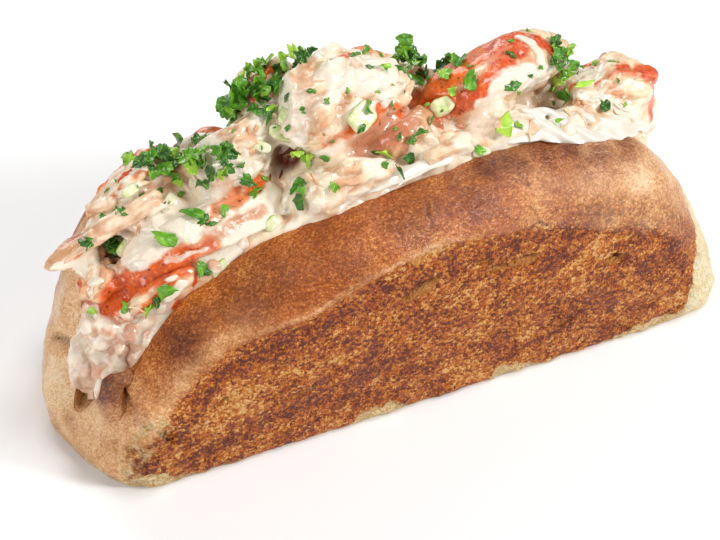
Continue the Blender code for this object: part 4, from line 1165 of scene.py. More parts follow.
def gap_balls():
    """(centres, radii): the listed gaps, and a row of balls just inside each long edge of the split."""
    lip = np.array(LIP)
    centres, radii = [np.array([g[0] for g in GAPS])], [np.array([g[1] for g in GAPS])]
    for side in (-1, 1):
        edge = lip[lip[:, 1] * side > 7.2]
        edge = edge[np.argsort(edge[:, 0])]
        x = np.arange(-62.0, 58.0, EDGE_STEP)
        y, z = through(x, edge[:, 0], edge[:, 1]), through(x, edge[:, 0], edge[:, 2])
        place = np.stack([x, y - side * (EDGE_BALL - EDGE_IN), z - EDGE_DOWN], -1)
        centres.append(place + 1.1 * np.stack([0 * x, blobs(place, 9.0, 690), blobs(place, 6.0, 691)], -1))
        radii.append(EDGE_BALL + 0.9 * blobs(place, 7.0, 692))
    return np.concatenate(centres), np.concatenate(radii)


print("balls:", len(gap_balls()[1]))


# %% Read the solids, join them, and smooth what comes out
SWELL, DRAW_BACK, VOXEL = 0.8, 0.1, 0.7  # millimetres
MELT_STEPS, MELT_SHARE = 16, 0.6


def solid_of(node):
    """The points, in mm, and triangles of a solid, with its loose corners merged."""
    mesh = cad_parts[node].data
    points = np.empty(len(mesh.vertices) * 3)
    mesh.vertices.foreach_get("co", points)
    points = points.reshape(-1, 3) / MM
    mesh.calc_loop_triangles()
    corners = np.empty(len(mesh.loop_triangles) * 3, np.int32)
    mesh.loop_triangles.foreach_get("vertices", corners)
    _, first, merged = np.unique(points.round(3), axis=0, return_index=True, return_inverse=True)
    return points[first], merged.reshape(-1)[corners].reshape(-1, 3)


def point_normals(points, triangles):
    """Each point's normal: the sum of its triangles' normals."""
    a, b, c = (points[triangles[:, k]] for k in range(3))
    face = np.cross(b - a, c - a)
    sums = [np.bincount(triangles.ravel(), np.repeat(face[:, k], 3), len(points)) for k in range(3)]
    total = np.stack(sums, -1)
    return total / np.linalg.norm(total, axis=1, keepdims=True).clip(1e-9)


def joined(points, triangles, voxel, steps):
    """(points, quads, dent): a mesh remade on voxels and smoothed, and the way to its neighbours' mean.

    Each step moves every point most of the way to the mean of its neighbours, so crests sink and gaps fill.
    """
    mesh = bpy.data.meshes.new("lump")
    mesh.from_pydata((points * MM).tolist(), [], triangles.tolist())
    lump = bpy.data.objects.new("lump", mesh)
    bpy.context.scene.collection.objects.link(lump)
    remesh = lump.modifiers.new("voxels", "REMESH")
    remesh.mode, remesh.voxel_size = "VOXEL", voxel * MM
    shape = lump.evaluated_get(bpy.context.evaluated_depsgraph_get()).to_mesh()
    place = np.empty(len(shape.vertices) * 3)
    shape.vertices.foreach_get("co", place)
    place = place.reshape(-1, 3) / MM
    quads = np.empty(len(shape.loops), np.int32)
    shape.loops.foreach_get("vertex_index", quads)
    bpy.data.objects.remove(lump)
    quads = quads.reshape(-1, 4)
    edges = np.concatenate([quads[:, [k, (k + 1) % 4]] for k in range(4)])
    edges = np.concatenate([edges, edges[:, ::-1]])
    degree = np.bincount(edges[:, 0], minlength=len(place))[:, None]
    for step in range(steps + 1):
        around = np.stack([np.bincount(edges[:, 0], place[edges[:, 1], k], len(place)) for k in range(3)], -1)
        dent = around / degree - place
        if step < steps:
            place = place + MELT_SHARE * dent
    print("joined:", len(place), "points,", len(quads), "quads")
    return place, quads, dent


def melted(nodes):
    """The nodes' solids, swollen, with balls of dressing in the gaps, joined into one melted body."""
    points, triangles, count = [], [], 0
    for node in nodes:
        place, corners = solid_of(node)
        points.append(place + SWELL * point_normals(place, corners))
        triangles.append(corners + count)
        count += len(place)
    turn, tilt = np.meshgrid(np.linspace(0, 2 * np.pi, 24, endpoint=False), np.linspace(0, np.pi, 13))
    ball = np.stack([np.sin(tilt) * np.cos(turn), np.sin(tilt) * np.sin(turn), np.cos(tilt)], -1)
    centres, radii = gap_balls()
    balls, faces = closed_grid(ball[None] * radii[:, None, None, None] + centres[:, None, None])
    points.append(balls)
    triangles.append(triangles_of(faces) + count)
    return joined(np.concatenate(points), np.concatenate(triangles), VOXEL, MELT_STEPS)


melt, quads, inward = melted(["salad"] + [piece.name for piece in PIECES])

# %% Make the dressing
melt_normals = point_normals(melt, triangles_of([quads]))
if (melt_normals * (melt - melt.mean(0))).sum() < 0:
    melt_normals = -melt_normals
dent = (inward * melt_normals).sum(1)  # above 0 in hollows
print("dents:", np.percentile(dent, (5, 50, 90, 98)).round(3), "mm")
curds, _ = scattered(melt, 2.4, 700)
curds = np.sqrt((1 - (curds / 0.8) ** 2).clip(0))
marks, push = painted(melt)
calm = 1 - np.maximum(marks["flush_and_shade"], marks["dressed"])
lumps = 0.8 * rough(melt, 5.0, 701) + (0.55 * curds * fade(blobs(melt, 7.0, 702), -0.3, 0.4) - 0.3) * calm
crease = np.abs(blobs(melt, (4.5, 3.2, 3.2), 706))
lumps = lumps + 0.9 * (crease - 0.3) * calm
melt = melt + melt_normals * (lumps + push - SWELL - DRAW_BACK)[:, None]
marks["flush_and_shade"] = np.maximum(marks["flush_and_shade"], 0.35 * fade(rough(melt, 6.0, 703), 0.15, 0.5))
film = 0.75 * fade(rough(melt, 5.0, 704), -0.1, 0.25) * (1 - marks["red"]) * (1 - marks["gap_shade"])
film = film * (1 - 0.9 * marks["flush_and_shade"])
marks["dressed"] = np.maximum(marks["dressed"], film)
# the hollows of the melted dressing and the folds between its lumps are painted in shade
marks["shaded_hollow"] = np.maximum(marks["shaded_hollow"], 0.8 * fade(dent, 0.03, 0.12))
marks["shaded_hollow"] = np.maximum(marks["shaded_hollow"], 0.6 * fade(-crease, -0.09, -0.01) * calm)
dressing = add_piece("dressing", melt, [quads], MEATS["dressing"], marks)
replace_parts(dressing, "salad")

# %% [markdown]
# ## Scraps on the heap
# Small things lie where they were dropped. Each kind is one mesh of many copies of one formula, every copy
# with its own random numbers. A ray is cast at the heap from above and in front for each one, and the copy is
# laid on the spot that it hits, tilted as the surface is.

# %% Dropping things on the heap
DROP_HEIGHT, DROP_REACH = 18.0, 0.05  # where a ray starts, in millimetres, and its reach, in metres


def land(places, missed=("bun_bread",)):
    """(spots, normals, found): where rays at the places meet what is made, but for the missed pieces."""
    bpy.context.view_layer.update()
    graph = bpy.context.evaluated_depsgraph_get()
    above = TO_EATER / np.linalg.norm(TO_EATER)
    spots, normals, found = [], [], []
    for place in places:
        start = Vector((place + DROP_HEIGHT * above) * MM)
        cast = bpy.context.scene.ray_cast(graph, start, Vector(-above), distance=DROP_REACH)
        hit, spot, normal, _, touched, _ = cast
        spots.append(np.array(spot) / MM)
        normals.append(np.array(normal))
        found.append(hit and touched.name not in missed)
    return np.array(spots), np.array(normals), np.array(found)


def frames(normals, random, tilt):
    """A turn for each copy (count, 3, 3): its columns are the copy's length, width and tilted normal."""
    up = normals + tilt * random.normal(size=normals.shape)
    up /= np.linalg.norm(up, axis=1, keepdims=True)
    aside = np.cross(up, random.normal(size=up.shape))
    aside /= np.linalg.norm(aside, axis=1, keepdims=True)
    return np.stack([aside, np.cross(up, aside), up], -1)


def place_copies(shapes, turns, spots):
    """Copies (count, rows, columns, 3), turned and moved to their spots."""
    return np.einsum("nij,nrcj->nrci", turns, shapes) + spots[:, None, None]


def ball_grid(count, rows, columns):
    """Unit balls (count, rows, columns, 3), poles at the ends of x."""
    tilt = np.linspace(0, np.pi, rows)[:, None]
    turn = np.linspace(0, 2 * np.pi, columns, endpoint=False)[None]
    ball = np.stack([-np.cos(tilt) + 0 * turn, np.sin(tilt) * np.cos(turn), np.sin(tilt) * np.sin(turn)], -1)
    return np.repeat(ball[None], count, 0)


print("a crumb's grid:", ball_grid(1, 13, 14)[0].shape[:2])

# %% [markdown]
# Picking a lobster leaves crumbs of meat and loose fibres. Crumbs are lumpy balls; a fibre is a ball drawn
# out ten times as long as it is thick, and bent.

# %% Crumbs of meat
CRUMB_COUNT, FIBRE_COUNT = 44, 26
KEPT_CLEAN = ("bun_bread", "claw_meat", "claw_leaf_meat", "leg_meat", "knuckle_meat")
random = np.random.default_rng(11)
dropped = np.stack([random.uniform(-68, 60, 500), random.uniform(-14, 13, 500), np.zeros(500)], -1)
dropped[:, 2] = 58 - 0.006 * dropped[:, 0] ** 2  # the heap is highest in the middle
spots, normals, found = land(dropped, missed=KEPT_CLEAN)
spots, normals = spots[found], normals[found]

count = CRUMB_COUNT
size = random.uniform(0.45, 1.0, (count, 1, 1, 1)) * random.uniform(0.6, 1.4, (count, 1, 1, 3))
size = size * (1.5, 1.0, 0.7)
balls = ball_grid(count, 13, 14)
lumpy = 1 + 0.7 * rough(balls + 5.0 * np.arange(count)[:, None, None, None], 0.9, 12, 2)[..., None]
turns = frames(normals[:count], random, 0.25)
flat, faces = closed_grid(place_copies(balls * size * lumpy, turns, spots[:count] - 0.15 * normals[:count]))
add_piece("meat_crumbs", flat, faces, MEATS["tail"], painted(flat)[0])

# %% Dressed curds in the left notch
CURD_VOXEL, CURD_STEPS = 0.34, 10
CURDS = (  # bigger curds at the left notch: where, and how wide
    (-69, -9, 16, 3.6), (-68.2, -10.6, 20, 3.8), (-69, -8, 24, 4.4), (-66.6, -12, 23.5, 4.2),
    (-67.6, -8.8, 28, 4.8), (-65, -12, 26.5, 4.6), (-66.5, -9.5, 31.5, 4.6), (-62.5, -12.6, 30.5, 4.4),
    (-60, -13.4, 33.8, 3.8), (-63, -11, 34.4, 3.6), (-57.5, -13.8, 36, 3.4), (-69.4, -4.4, 29, 4.2),
    (-45, -13, 42.5, 3.4), (-38, -12.4, 45.6, 3.6), (-68, -5, 34, 3.8),
)
curd_spots, curd_normals, _ = land(np.array(CURDS)[:, :3])
balls = ball_grid(len(CURDS), 34, 36)
size = np.array(CURDS)[:, 3, None, None, None] / 2 * random.uniform(0.8, 1.2, (len(CURDS), 1, 1, 3))
size = size * (1.3, 1.0, 0.7)
apart = 5.0 * np.arange(len(CURDS))[:, None, None, None]
lumpy = 1 + 0.6 * (np.abs(rough(balls + apart, 0.9, 15, 3)) - 0.2)[..., None]
lumpy = lumpy + 0.25 * rough(balls + apart, 0.5, 16, 2)[..., None]
lumpy[:, [0, -1]] = lumpy[:, [0, -1]].mean(2, keepdims=True)
curds = place_copies(balls * size * lumpy, frames(curd_normals, random, 0.4), curd_spots - 0.5 * curd_normals)
flat, faces = closed_grid(curds)
flat, quads, _ = joined(flat, triangles_of(faces), CURD_VOXEL, CURD_STEPS)
marks = painted(flat)[0]
marks["dressed"] = 0.3 + 0.45 * fade(rough(flat, 3.0, 17), -0.2, 0.2)
marks["flush_and_shade"] = 0.9 * fade(rough(flat, 3.5, 18), -0.4, 0.2)
# the curds take little painted shade
marks["shaded_hollow"] *= 0.3
add_piece("meat_curds", flat, [quads], MEATS["dressing"], marks)

# %% Fibres of meat
count = FIBRE_COUNT
balls = ball_grid(count, 9, 6)
length = random.uniform(1.2, 3.2, (count, 1, 1))
thick = random.uniform(0.2, 0.4, (count, 1, 1))
bend = random.uniform(-0.9, 0.9, (count, 1, 1))
along = balls[..., 0]
fibres = np.stack([along * length, balls[..., 1] * thick + bend * along**2, balls[..., 2] * thick], -1)
fibres = place_copies(fibres, frames(normals[-count:], random, 0.06), spots[-count:])
flat, faces = closed_grid(fibres)
add_piece("meat_fibres", flat, faces, MEATS["tail"], painted(flat)[0])

# %% [markdown]
# ## Loose mayonnaise
# Where the dressing was pressed out it lies in ropes along the near edge, like thick cream off a spoon. A
# rope is an ellipse carried along a curve, thin at both ends.

# %% Where the ropes of mayonnaise lie
ROPES = (  # points of the middle line, half width, half height
    (((28.4, -9.6, 54.6), (30.2, -12.2, 52.9), (32, -14.4, 51)), 1.2, 0.7),
    (((30.6, -10, 54.2), (32.6, -12.6, 52.5), (34.4, -15.2, 50.3)), 1.2, 0.75),
    (((33, -10.2, 53.6), (35.2, -13, 51.9), (37.2, -15.8, 49.7)), 1.2, 0.8),
    (((35.4, -10.2, 53), (37.8, -13, 51.5), (40, -15.8, 49.2)), 1.2, 0.8),
    (((37.8, -10.4, 52.4), (40.4, -13, 50.6), (42.8, -15.6, 48.5)), 1.2, 0.8),
    (((40.4, -10.6, 51.6), (43.2, -12.8, 49.7), (45.6, -14.8, 47.8)), 1.1, 0.7),
    (((30, -11.4, 52.6), (35, -12.8, 51.4), (41, -13.2, 49.9), (46, -12.8, 48)), 2.6, 0.7),
    (((29, -13.6, 51.4), (34, -14.8, 50.4), (40, -15.4, 49.4), (46, -14.8, 47.6), (52, -13.4, 45.2)),
        1.2, 0.7),
    (((26.5, -8.4, 56.2), (33, -9.2, 54.6), (40, -10, 52), (48, -11.4, 48.6), (54, -10.8, 45.4),
        (59.6, -7.6, 41.4)), 1.3, 0.8),
    (((43, -12, 49.4), (48, -12.8, 47.6), (54, -11.6, 44.2)), 1.3, 0.7),
    (((-12, -12.8, 50.6), (-6, -12.6, 51.4), (0, -12.6, 52), (6, -12.8, 52.8), (9, -12.2, 53.4)), 2.2, 0.5),
    (((20, -12.4, 52.8), (25, -12.8, 52.4), (30, -13, 51.6)), 1.5, 0.5),
    (((-26, -13, 46.6), (-20, -13.2, 48.6), (-14, -13, 50)), 1.6, 0.45),
)
print(len(ROPES), "ropes")

# %% Pipe the mayonnaise
JOIN_VOXEL, JOIN_STEPS = 0.32, 13
RIPPLE_APART, RIPPLE_LEAN = 4.0, 1.4  # ripples cross the ropes that many millimetres apart


def rope(knots, half_wide, half_high, rows=72, columns=26):
    """A closed rope: an ellipse along a smooth curve, wavering in width, rounded off at both ends."""
    steps = np.linspace(0, len(knots) - 1, rows)
    middle = np.stack([through(steps, np.arange(len(knots)), np.array(knots)[:, k]) for k in range(3)], -1)
    along = np.gradient(middle, axis=0)
    along /= np.linalg.norm(along, axis=1, keepdims=True)
    aside = np.cross(along, (0.0, -0.35, 0.94))
    aside /= np.linalg.norm(aside, axis=1, keepdims=True)
    up = np.cross(aside, along)
    share = np.linspace(-1, 1, rows)
    wide = np.sqrt((1 - share**2).clip(0)) ** 0.8 * (1 + 0.3 * blobs(middle, 4.0, 720))
    turn = np.linspace(0, 2 * np.pi, columns, endpoint=False)
    wide = wide[:, None, None]
    across = np.cos(turn)[None, :, None] * half_wide * wide * aside[:, None]
    return middle[:, None] + across + np.sin(turn)[None, :, None] * half_high * wide * up[:, None]


def mayonnaise_finish():
    """Mayonnaise: an emulsion of oil drops, so opaque cream white, softly lit from within, and wet."""
    material, tree, shader, coords, _ = new_finish("mayonnaise")
    colour = coated(tree, "#ece7dc", (grain(tree, coords, 1.8, 3.0), 0.4, 0.7, 1.0, "#e2d8c6"))
    dimples = grain(tree, coords, 1.1, 3.0)
    bump = add(tree, "Bump", {"Height": dimples, "Strength": 0.35, "Distance": 0.3 * MM})
    plug(tree, shader, {
        "Base Color": colour, "Roughness": 0.3, "IOR": 1.46, "Normal": bump,
        "Coat Weight": 0.8, "Coat Roughness": 0.06,
        "Subsurface Weight": 0.3, "Subsurface Radius": (1.0, 0.8, 0.6), "Subsurface Scale": 1.2 * MM,
    })
    return material


ropes = np.array([rope(*one) for one in ROPES])
wander = np.stack([0.35 * rough(ropes, 3.0, 730 + k, 2) for k in range(3)], -1)
wander[:, [0, -1]] = wander[:, [0, -1]].mean(2, keepdims=True)
flat, faces = closed_grid(ropes + wander)
flat, quads, _ = joined(flat, triangles_of(faces), JOIN_VOXEL, JOIN_STEPS)
ripple = np.cos(2 * np.pi * (flat[:, 0] + RIPPLE_LEAN * (flat[:, 2] - 50)) / RIPPLE_APART)
ripple = ripple * fade(flat[:, 0], 27, 31) * fade(-flat[:, 0], -49, -43)
flat = flat + ripple[:, None] * (0.0, -0.38, 0.3)
add_piece("mayonnaise", flat, [quads], mayonnaise_finish())

# %% [markdown]
# ## Celery
# Celery dice are watery and pale green, almost clear at the heart, with a darker rind on one side. They are
# rounded boxes: a superellipsoid, whose powers pull a ball towards a cube.

# %% Cut the celery
CELERY = (  # centre, size along, across and thick, then heading, pitch and roll in degrees
    ((-9.2, -6.7, 64), (7, 5.2, 2), (30, 10, 52)), ((-21.5, 0.6, 66), (8.6, 2.4, 2), (30, 35, 20)),
    ((-29.5, -0.8, 59.4), (5.6, 2.2, 2), (-30, -20, 40)), ((10.8, -3.4, 58.6), (5, 3.4, 3), (10, 0, 30)),
    ((-55.8, 2.6, 54), (3.6, 2.2, 1.6), (20, 10, 30)),
    ((-42.5, -12.2, 41.2), (6.5, 3.4, 2.4), (20, 24, 60)), ((-60.5, 4, 38.5), (5, 3.2, 2.4), (60, 0, 30)),
    ((15.5, -12.4, 51.6), (4, 2.2, 2), (0, 0, 30)), ((-49, 0.4, 50.4), (4.4, 2, 1.6), (30, 20, 40)),
    ((-31, -10.2, 46.6), (4, 2.6, 2.4), (20, 12, 50)), ((-30, 9, 66), (4, 2.4, 2), (50, 30, 40)),
    ((20, 10, 57), (5, 3.6, 3), (70, 10, 0)), ((-12, 13, 57), (5, 3.4, 3), (20, 0, -40)),
    ((46, 12, 49), (5, 3, 2.6), (0, -20, -30)), ((-24, -1, 60.6), (6, 3, 2.2), (-20, -25, 50)),
    ((-59, -0.8, 43.4), (4.6, 2.6, 2), (30, 20, 40)),
)
CELERY_POWER = 0.55


def celery_finish():
    """Raw celery: watery, so light goes deep, with strands in it, a greener rind, and a film of dressing."""
    material, tree, shader, coords, mark = new_finish("raw_celery", ["rind"])
    strand = grain(tree, coords, 0.5, 2.0, (1.0, 4.0, 1.0))
    colour = coated(
        tree, "#e6e4c0", (strand, 0.35, 0.7, 1.0, "#c2d088"), (mark["rind"], 0.0, 1.0, 1.0, "#8db63c"),
        (grain(tree, coords, 2.4, 3.0), 0.5, 0.64, 0.6, "#efe8d8"),
    )
    bump = add(tree, "Bump", {"Height": strand, "Strength": 0.3, "Distance": 0.2 * MM})
    plug(tree, shader, {
        "Base Color": colour, "Roughness": 0.22, "IOR": 1.4, "Normal": bump,
        "Subsurface Weight": 0.6, "Subsurface Radius": (0.8, 1.0, 0.4), "Subsurface Scale": 1.6 * MM,
    })
    return material


count = len(CELERY)
balls = ball_grid(count, 36, 36)
cubed = np.sign(balls) * np.abs(balls) ** CELERY_POWER
half = np.array([size for _, size, _ in CELERY])[:, None, None] / 2
dice = cubed * half
dice[..., 2] += 0.12 * half[..., 2] * (dice[..., 1] / half[..., 1]) ** 2 * half[..., 1]
apart = 9.0 * np.arange(count)[:, None, None, None]
dice += 0.22 * np.stack([blobs(dice + apart, 1.6, 740 + k) for k in range(3)], -1)
dice[:, [0, -1]] = dice[:, [0, -1]].mean(2, keepdims=True)
turns = np.array([turn_matrix(*turn) for _, _, turn in CELERY])
centres = np.array([centre for centre, _, _ in CELERY])
flat, faces = closed_grid(place_copies(dice, turns, centres))
rind = grid_marks(fade(cubed[..., 1], 0.72, 0.99))
add_piece("celery_dice", flat, faces, celery_finish(), {"rind": rind})

# %% [markdown]
# ## Parsley
# Chopped parsley is scraps of a frilled leaf. A scrap is a disc whose edge swings in and out, three or five
# times for its lobes and many times for their teeth, then bends along its length and ruffles towards its rim.
# Its veins run out to the tips of the lobes, and its underside is paler.

# %% The parsley's finish
def parsley_finish():
    """Chopped parsley: a waxy leaf, each scrap its own green, with pale veins and a pale underside."""
    material, tree, shader, coords, mark = new_finish("chopped_parsley", ["tone", "vein", "under"])
    mottle = grain(tree, coords, 0.9, 3.0)
    varied = sum_of(tree, (mottle, 0.9), (mark["tone"], 1.0), (-0.45, 1.0))
    greens = ((0.0, "#1e4c0a"), (0.35, "#3c7c10"), (0.7, "#6dac20"), (1.0, "#b4da48"))
    leaf = coated(
        tree, add(tree, "ValToRGB", {0: varied}, stops=greens),
        (mark["vein"], 0.0, 1.0, 0.8, "#9cc94c"), (mark["under"], 0.0, 1.0, 0.45, "#8cba44"),
    )
    bump = add(tree, "Bump", {"Height": mottle, "Strength": 0.6, "Distance": 0.25 * MM})
    plug(tree, shader, {
        "Base Color": leaf, "Roughness": 0.4, "IOR": 1.42, "Normal": bump,
        "Coat Weight": 0.5, "Coat Roughness": 0.16, "Coat Normal": bump,
        "Subsurface Weight": 0.12, "Subsurface Radius": (0.4, 1.0, 0.2), "Subsurface Scale": 0.5 * MM,
    })
    return material


parsley_green = parsley_finish()
print("marks on a leaf: tone, vein and under, for", parsley_green.name)


# %% The shape of a scrap of leaf
LEAF_SHARES, LEAF_COLUMNS = np.array([0, 0.3, 0.6, 0.85, 1.0]), 44  # shares of the way out, points round
FLECK_SHARES, FLECK_COLUMNS = np.array([0, 0.6, 1.0]), 14


def scraps(long, wide, ruffle, notched, random, shares, columns):
    """(shapes, vein, under): scraps of leaf (count, rows, columns, 3), lying flat, with their marks."""
    count = len(long)
    long, wide, ruffle, notched = (np.asarray(v, float)[:, None, None] for v in (long, wide, ruffle, notched))
    turn = np.linspace(0, 2 * np.pi, columns, endpoint=False)[None, None]
    out = np.concatenate([shares, shares[-2::-1]])[None, :, None]
    top = np.concatenate([np.ones(len(shares) - 1), [0.0], -np.ones(len(shares) - 1)])[None, :, None]
    lobes = random.choice([1, 2, 3, 4], count)[:, None, None]
    phase, other, third = random.uniform(0, 2 * np.pi, (3, count, 1, 1))
    swing = lobes * (turn + 0.35 * np.sin(turn + other)) / 2 + phase
    diamond = (np.abs(np.cos(turn)) ** 1.3 + np.abs(np.sin(turn)) ** 1.3) ** (-1 / 1.3)
    edge = diamond * (1.15 - notched + notched * np.abs(np.cos(swing)) ** 0.6)
    edge = edge + 0.1 * np.sin(9 * turn + other) * (0.5 + 0.5 * np.sin(2 * turn + third))
    edge = edge + 0.04 * np.sin(16 * turn + third)
    edge = 1 + (edge - 1) * out**0.7
    x, y = out * edge * np.cos(turn) * long / 2, out * edge * np.sin(turn) * wide / 2
    knife = random.uniform(0.12, 0.9, (count, 1, 1)) * long / 2  # a knife cut straight across
    x = np.where(x > knife, knife + 0.12 * (x - knife), x)
    slant = random.uniform(-0.5, 0.5, (count, 1, 1))
    knife = random.uniform(0.3, 1.0, (count, 1, 1)) * wide / 2
    y = np.where(y + slant * x > knife, knife - slant * x + 0.12 * (y + slant * x - knife), y)
    z = ruffle * out**2 * np.sin((lobes + 2) * turn + third) * wide / 5
    z = z + random.uniform(-0.4, 1.0, (count, 1, 1)) * np.sqrt(y * y + 0.02 * wide * wide)
    z = z + 0.5 * x * x / long * random.normal(0.0, 1.0, (count, 1, 1))
    z = z + top * 0.11 * (1 - 0.5 * out**2)
    spread = np.exp(-((np.sin(1.5 * turn) / 0.14) ** 2)) * fade(np.cos(turn), -0.6, -0.2)
    vein = np.maximum(spread, np.exp(-((np.sin(swing) / 0.1) ** 2)))
    vein = vein * fade(out, 0.02, 0.3) * (1 - 0.5 * out) + 0 * x
    return np.stack([x, y, z], -1), vein, (top < 0) + 0 * x


print("a leaf's grid:", (2 * len(LEAF_SHARES) - 1, LEAF_COLUMNS))

# %% Where the parsley lies
LEAVES = (  # where each scrap lies, its length and width
    (-56, -13.6, 40, 5, 3.8), (-59, -13.4, 36.8, 5.4, 4.6), (-57.4, -13.6, 38.6, 3.6, 2.6),
    (-47.6, -12.8, 43, 4.4, 2.6), (-46.4, -12.8, 41.8, 3, 2.4), (-52, -6.8, 47.5, 6.2, 3.2),
    (-45.4, -5, 49.4, 6, 2.8), (-42.5, -7.4, 48.5, 5.4, 4), (-44.2, -6.6, 49, 3.4, 2.2),
    (-39.4, -5.6, 50, 3.6, 1.8), (-37, -2, 59, 4.5, 3.4), (-33.5, -3.4, 53.7, 4.2, 2.8),
    (-31.8, -5.4, 50.9, 4.4, 2.4), (-23.8, -8.8, 53.5, 5.6, 2.2), (-25, -10.6, 50.5, 4.6, 3.6),
    (-23.6, -9.8, 51.8, 2.6, 2), (-17.6, -12.4, 53.4, 4.8, 2.4), (-19.4, -1.2, 53.6, 3, 2),
    (-20.4, -4.8, 56.6, 4.8, 1.6), (-22, -3.4, 58, 3.8, 2.8), (16.9, -4.6, 64, 5.2, 3.6),
    (12.9, -4, 62.4, 2.8, 2.2), (25.4, -5.8, 61, 5.2, 2.4), (21.6, -11.4, 54.6, 6.6, 4.6),
    (24.6, -10.6, 54.4, 3, 1.8), (14.8, -12.4, 52.6, 5, 2.6), (41.8, -3.6, 52.5, 5, 3.2),
    (45, -3.6, 54.6, 5.6, 1.6), (48.8, -6.3, 49.5, 5.4, 2.4), (53, -6.8, 49, 1.8, 1.4),
    (0.6, -8.8, 57, 3.8, 2), (3.6, -8.6, 57.4, 3.2, 1.4), (-0.4, -10, 53.8, 4.4, 2.4),
    (-4.8, -9.6, 54.5, 6, 1.8), (-6.2, -10.4, 53.6, 3, 2), (-3.6, -12.6, 52.6, 4.4, 1),
    (-7.4, -5.8, 65.4, 4.2, 2.6), (-2.4, 6.4, 70.6, 5.4, 1.8), (-6, 4, 72, 3.4, 1.4),
    (-1.4, -2, 71, 3.2, 1.2), (-65.8, -1.2, 46.8, 4.6, 3.2), (-63, -0.6, 45, 4.6, 4), (-61.4, -1, 44, 4, 3),
    (-68.5, -6.4, 34.5, 2.8, 2.2), (-62.5, -9.9, 34.7, 3.6, 2), (27, -6.2, 59.6, 2.2, 1.2),
    (33.9, -11.8, 53.4, 3.6, 1.3), (31, -4.6, 61.6, 2, 1), (33.4, -4, 62.6, 1.4, 1),
    (6.6, -6.6, 58.6, 2.6, 1.4), (8, -2, 59, 1.8, 1.4), (-31, 5.6, 71, 4.6, 3.4),
    (-27.9, 9, 68.6, 5.4, 4.2), (-24.9, 9, 70.6, 5.2, 4.4), (-21.6, 11.5, 70, 4.6, 3.8),
    (-20.4, 10.1, 69.4, 5.4, 4), (-19.4, 9, 71, 5, 4.4), (-17.6, 8.6, 72, 4.8, 4),
    (-15.5, 9, 71.2, 4.8, 3.8), (-16, 8, 69.6, 4, 3.2), (-16.8, 3.4, 74, 4.2, 3), (-15, 4, 74.2, 3.4, 2.6),
    (-29.4, 8.4, 66, 5.6, 3.6), (-27, 7, 67.6, 4, 3), (-25.3, 6, 67.8, 4.6, 3.4), (-22.8, 6.8, 68, 5, 3.6),
    (-21, 5.6, 66.8, 4.2, 2.4), (-28.6, 2, 65.9, 5.2, 3.4), (-26.7, 1.3, 65.2, 4.6, 3),
    (-25.4, 1.8, 65, 3.8, 2.6), (-30, 7.6, 63, 5, 3.6), (-31.4, 5.6, 62, 4.6, 2.2),
    (-33.4, 4.4, 62.6, 4, 3), (-31, 10.6, 63, 4, 2.8), (7.6, 8, 69.6, 4.2, 3.2), (7.4, 8.4, 67, 4.6, 3.4),
    (9.2, 8.4, 65.6, 5, 3.6), (6, 10, 64, 4.4, 3), (10.6, 9.6, 63, 4.8, 3.4), (12.6, 10, 61.4, 4.6, 3),
    (4, 12, 63.4, 3.6, 2.4), (9.7, 8.8, 61.4, 5, 2.8), (3.4, 2, 66, 5, 2.4), (9.7, 7.6, 59.4, 5.4, 2.4),
    (11.8, 8, 59.6, 3.6, 2.6), (39.2, 0.4, 64.2, 3.6, 3), (39.6, -1, 62.6, 4.2, 3.2),
    (37.4, -2.4, 63.2, 3.6, 2.6), (37.2, -3, 61.4, 4.6, 3.2), (39.4, -2.2, 60, 4.4, 3),
    (41.6, 0.4, 57, 4.2, 2.6), (44.4, 2.2, 55.2, 5.6, 3), (46.6, 3, 54.8, 4.4, 2.6),
    (42.4, 1.2, 54.4, 5, 3.2), (39.6, -1.2, 56, 4, 2.4), (40.8, 0.8, 53, 4, 1.8),
    (51.2, 2.6, 54.6, 3.2, 1.4), (53.6, -2, 56.6, 3.4, 1.2), (-52, 5, 58, 4.8, 4),
    (-50.6, 3.8, 56, 4.8, 3.6), (-50.4, 6.6, 58, 4.6, 4), (-47.5, 7, 57.4, 5, 4),
    (-45.4, 7.4, 56.8, 5, 3.6), (-45.4, 5.2, 56, 4.8, 3.8), (-47.8, 4.8, 56.2, 4.6, 3.4),
    (-43.6, 6, 56, 3.4, 2.6), (-43.4, 1.8, 58.8, 5.2, 4.4), (-41.8, -0.2, 60.2, 5.6, 4.6),
    (-43, -0.8, 58.2, 4.8, 3.8), (-40, 0, 60.6, 4.6, 3.4), (-41.3, -2.6, 59.2, 4.6, 3.4),
    (-40.4, -3, 57.2, 4.2, 2.8), (-38.4, -3.4, 56.8, 4.8, 2.4), (-37.6, -3.4, 58, 3.4, 2.6),
    (-42.4, -2.4, 55.6, 3.8, 2.8), (-45.9, 3.4, 54, 4.6, 2.6), (-45.2, 3, 52.4, 3, 2.4),
    (-38.9, -2.2, 62.2, 4, 2.8), (-37.1, -2.8, 62, 4.2, 3.2), (-36.1, -3.4, 60.8, 3.6, 2.6),
    (-37.6, -3.2, 60.2, 3.4, 2.2),
)
HEAPS = (  # bunches of frilled scraps: centre, spread along x, y and z, how many, how long, stand-up
    ((-24, 9, 69.5), (4, 2.4, 1.6), 5, 3.6, 0.9), ((8.5, 9, 66), (1.6, 1.4, 3), 6, 3.4, 0.9),
    ((41, 1, 60), (1.6, 1.4, 2.6), 5, 3.2, 0.9), ((-50, 6, 57.6), (2, 1.4, 1), 6, 3, 1),
    ((-42, -1, 60), (2, 1.4, 1.4), 6, 3.2, 1), ((-27, 13, 62), (5, 2, 2.5), 9, 4.6, 0.5),
    ((20, 12, 56), (8, 2, 1.5), 7, 4, 0.3), ((-46, 11, 55), (5, 2, 1.5), 7, 4.2, 0.4),
)
print(len(LEAVES), "scraps and", len(HEAPS), "bunches")

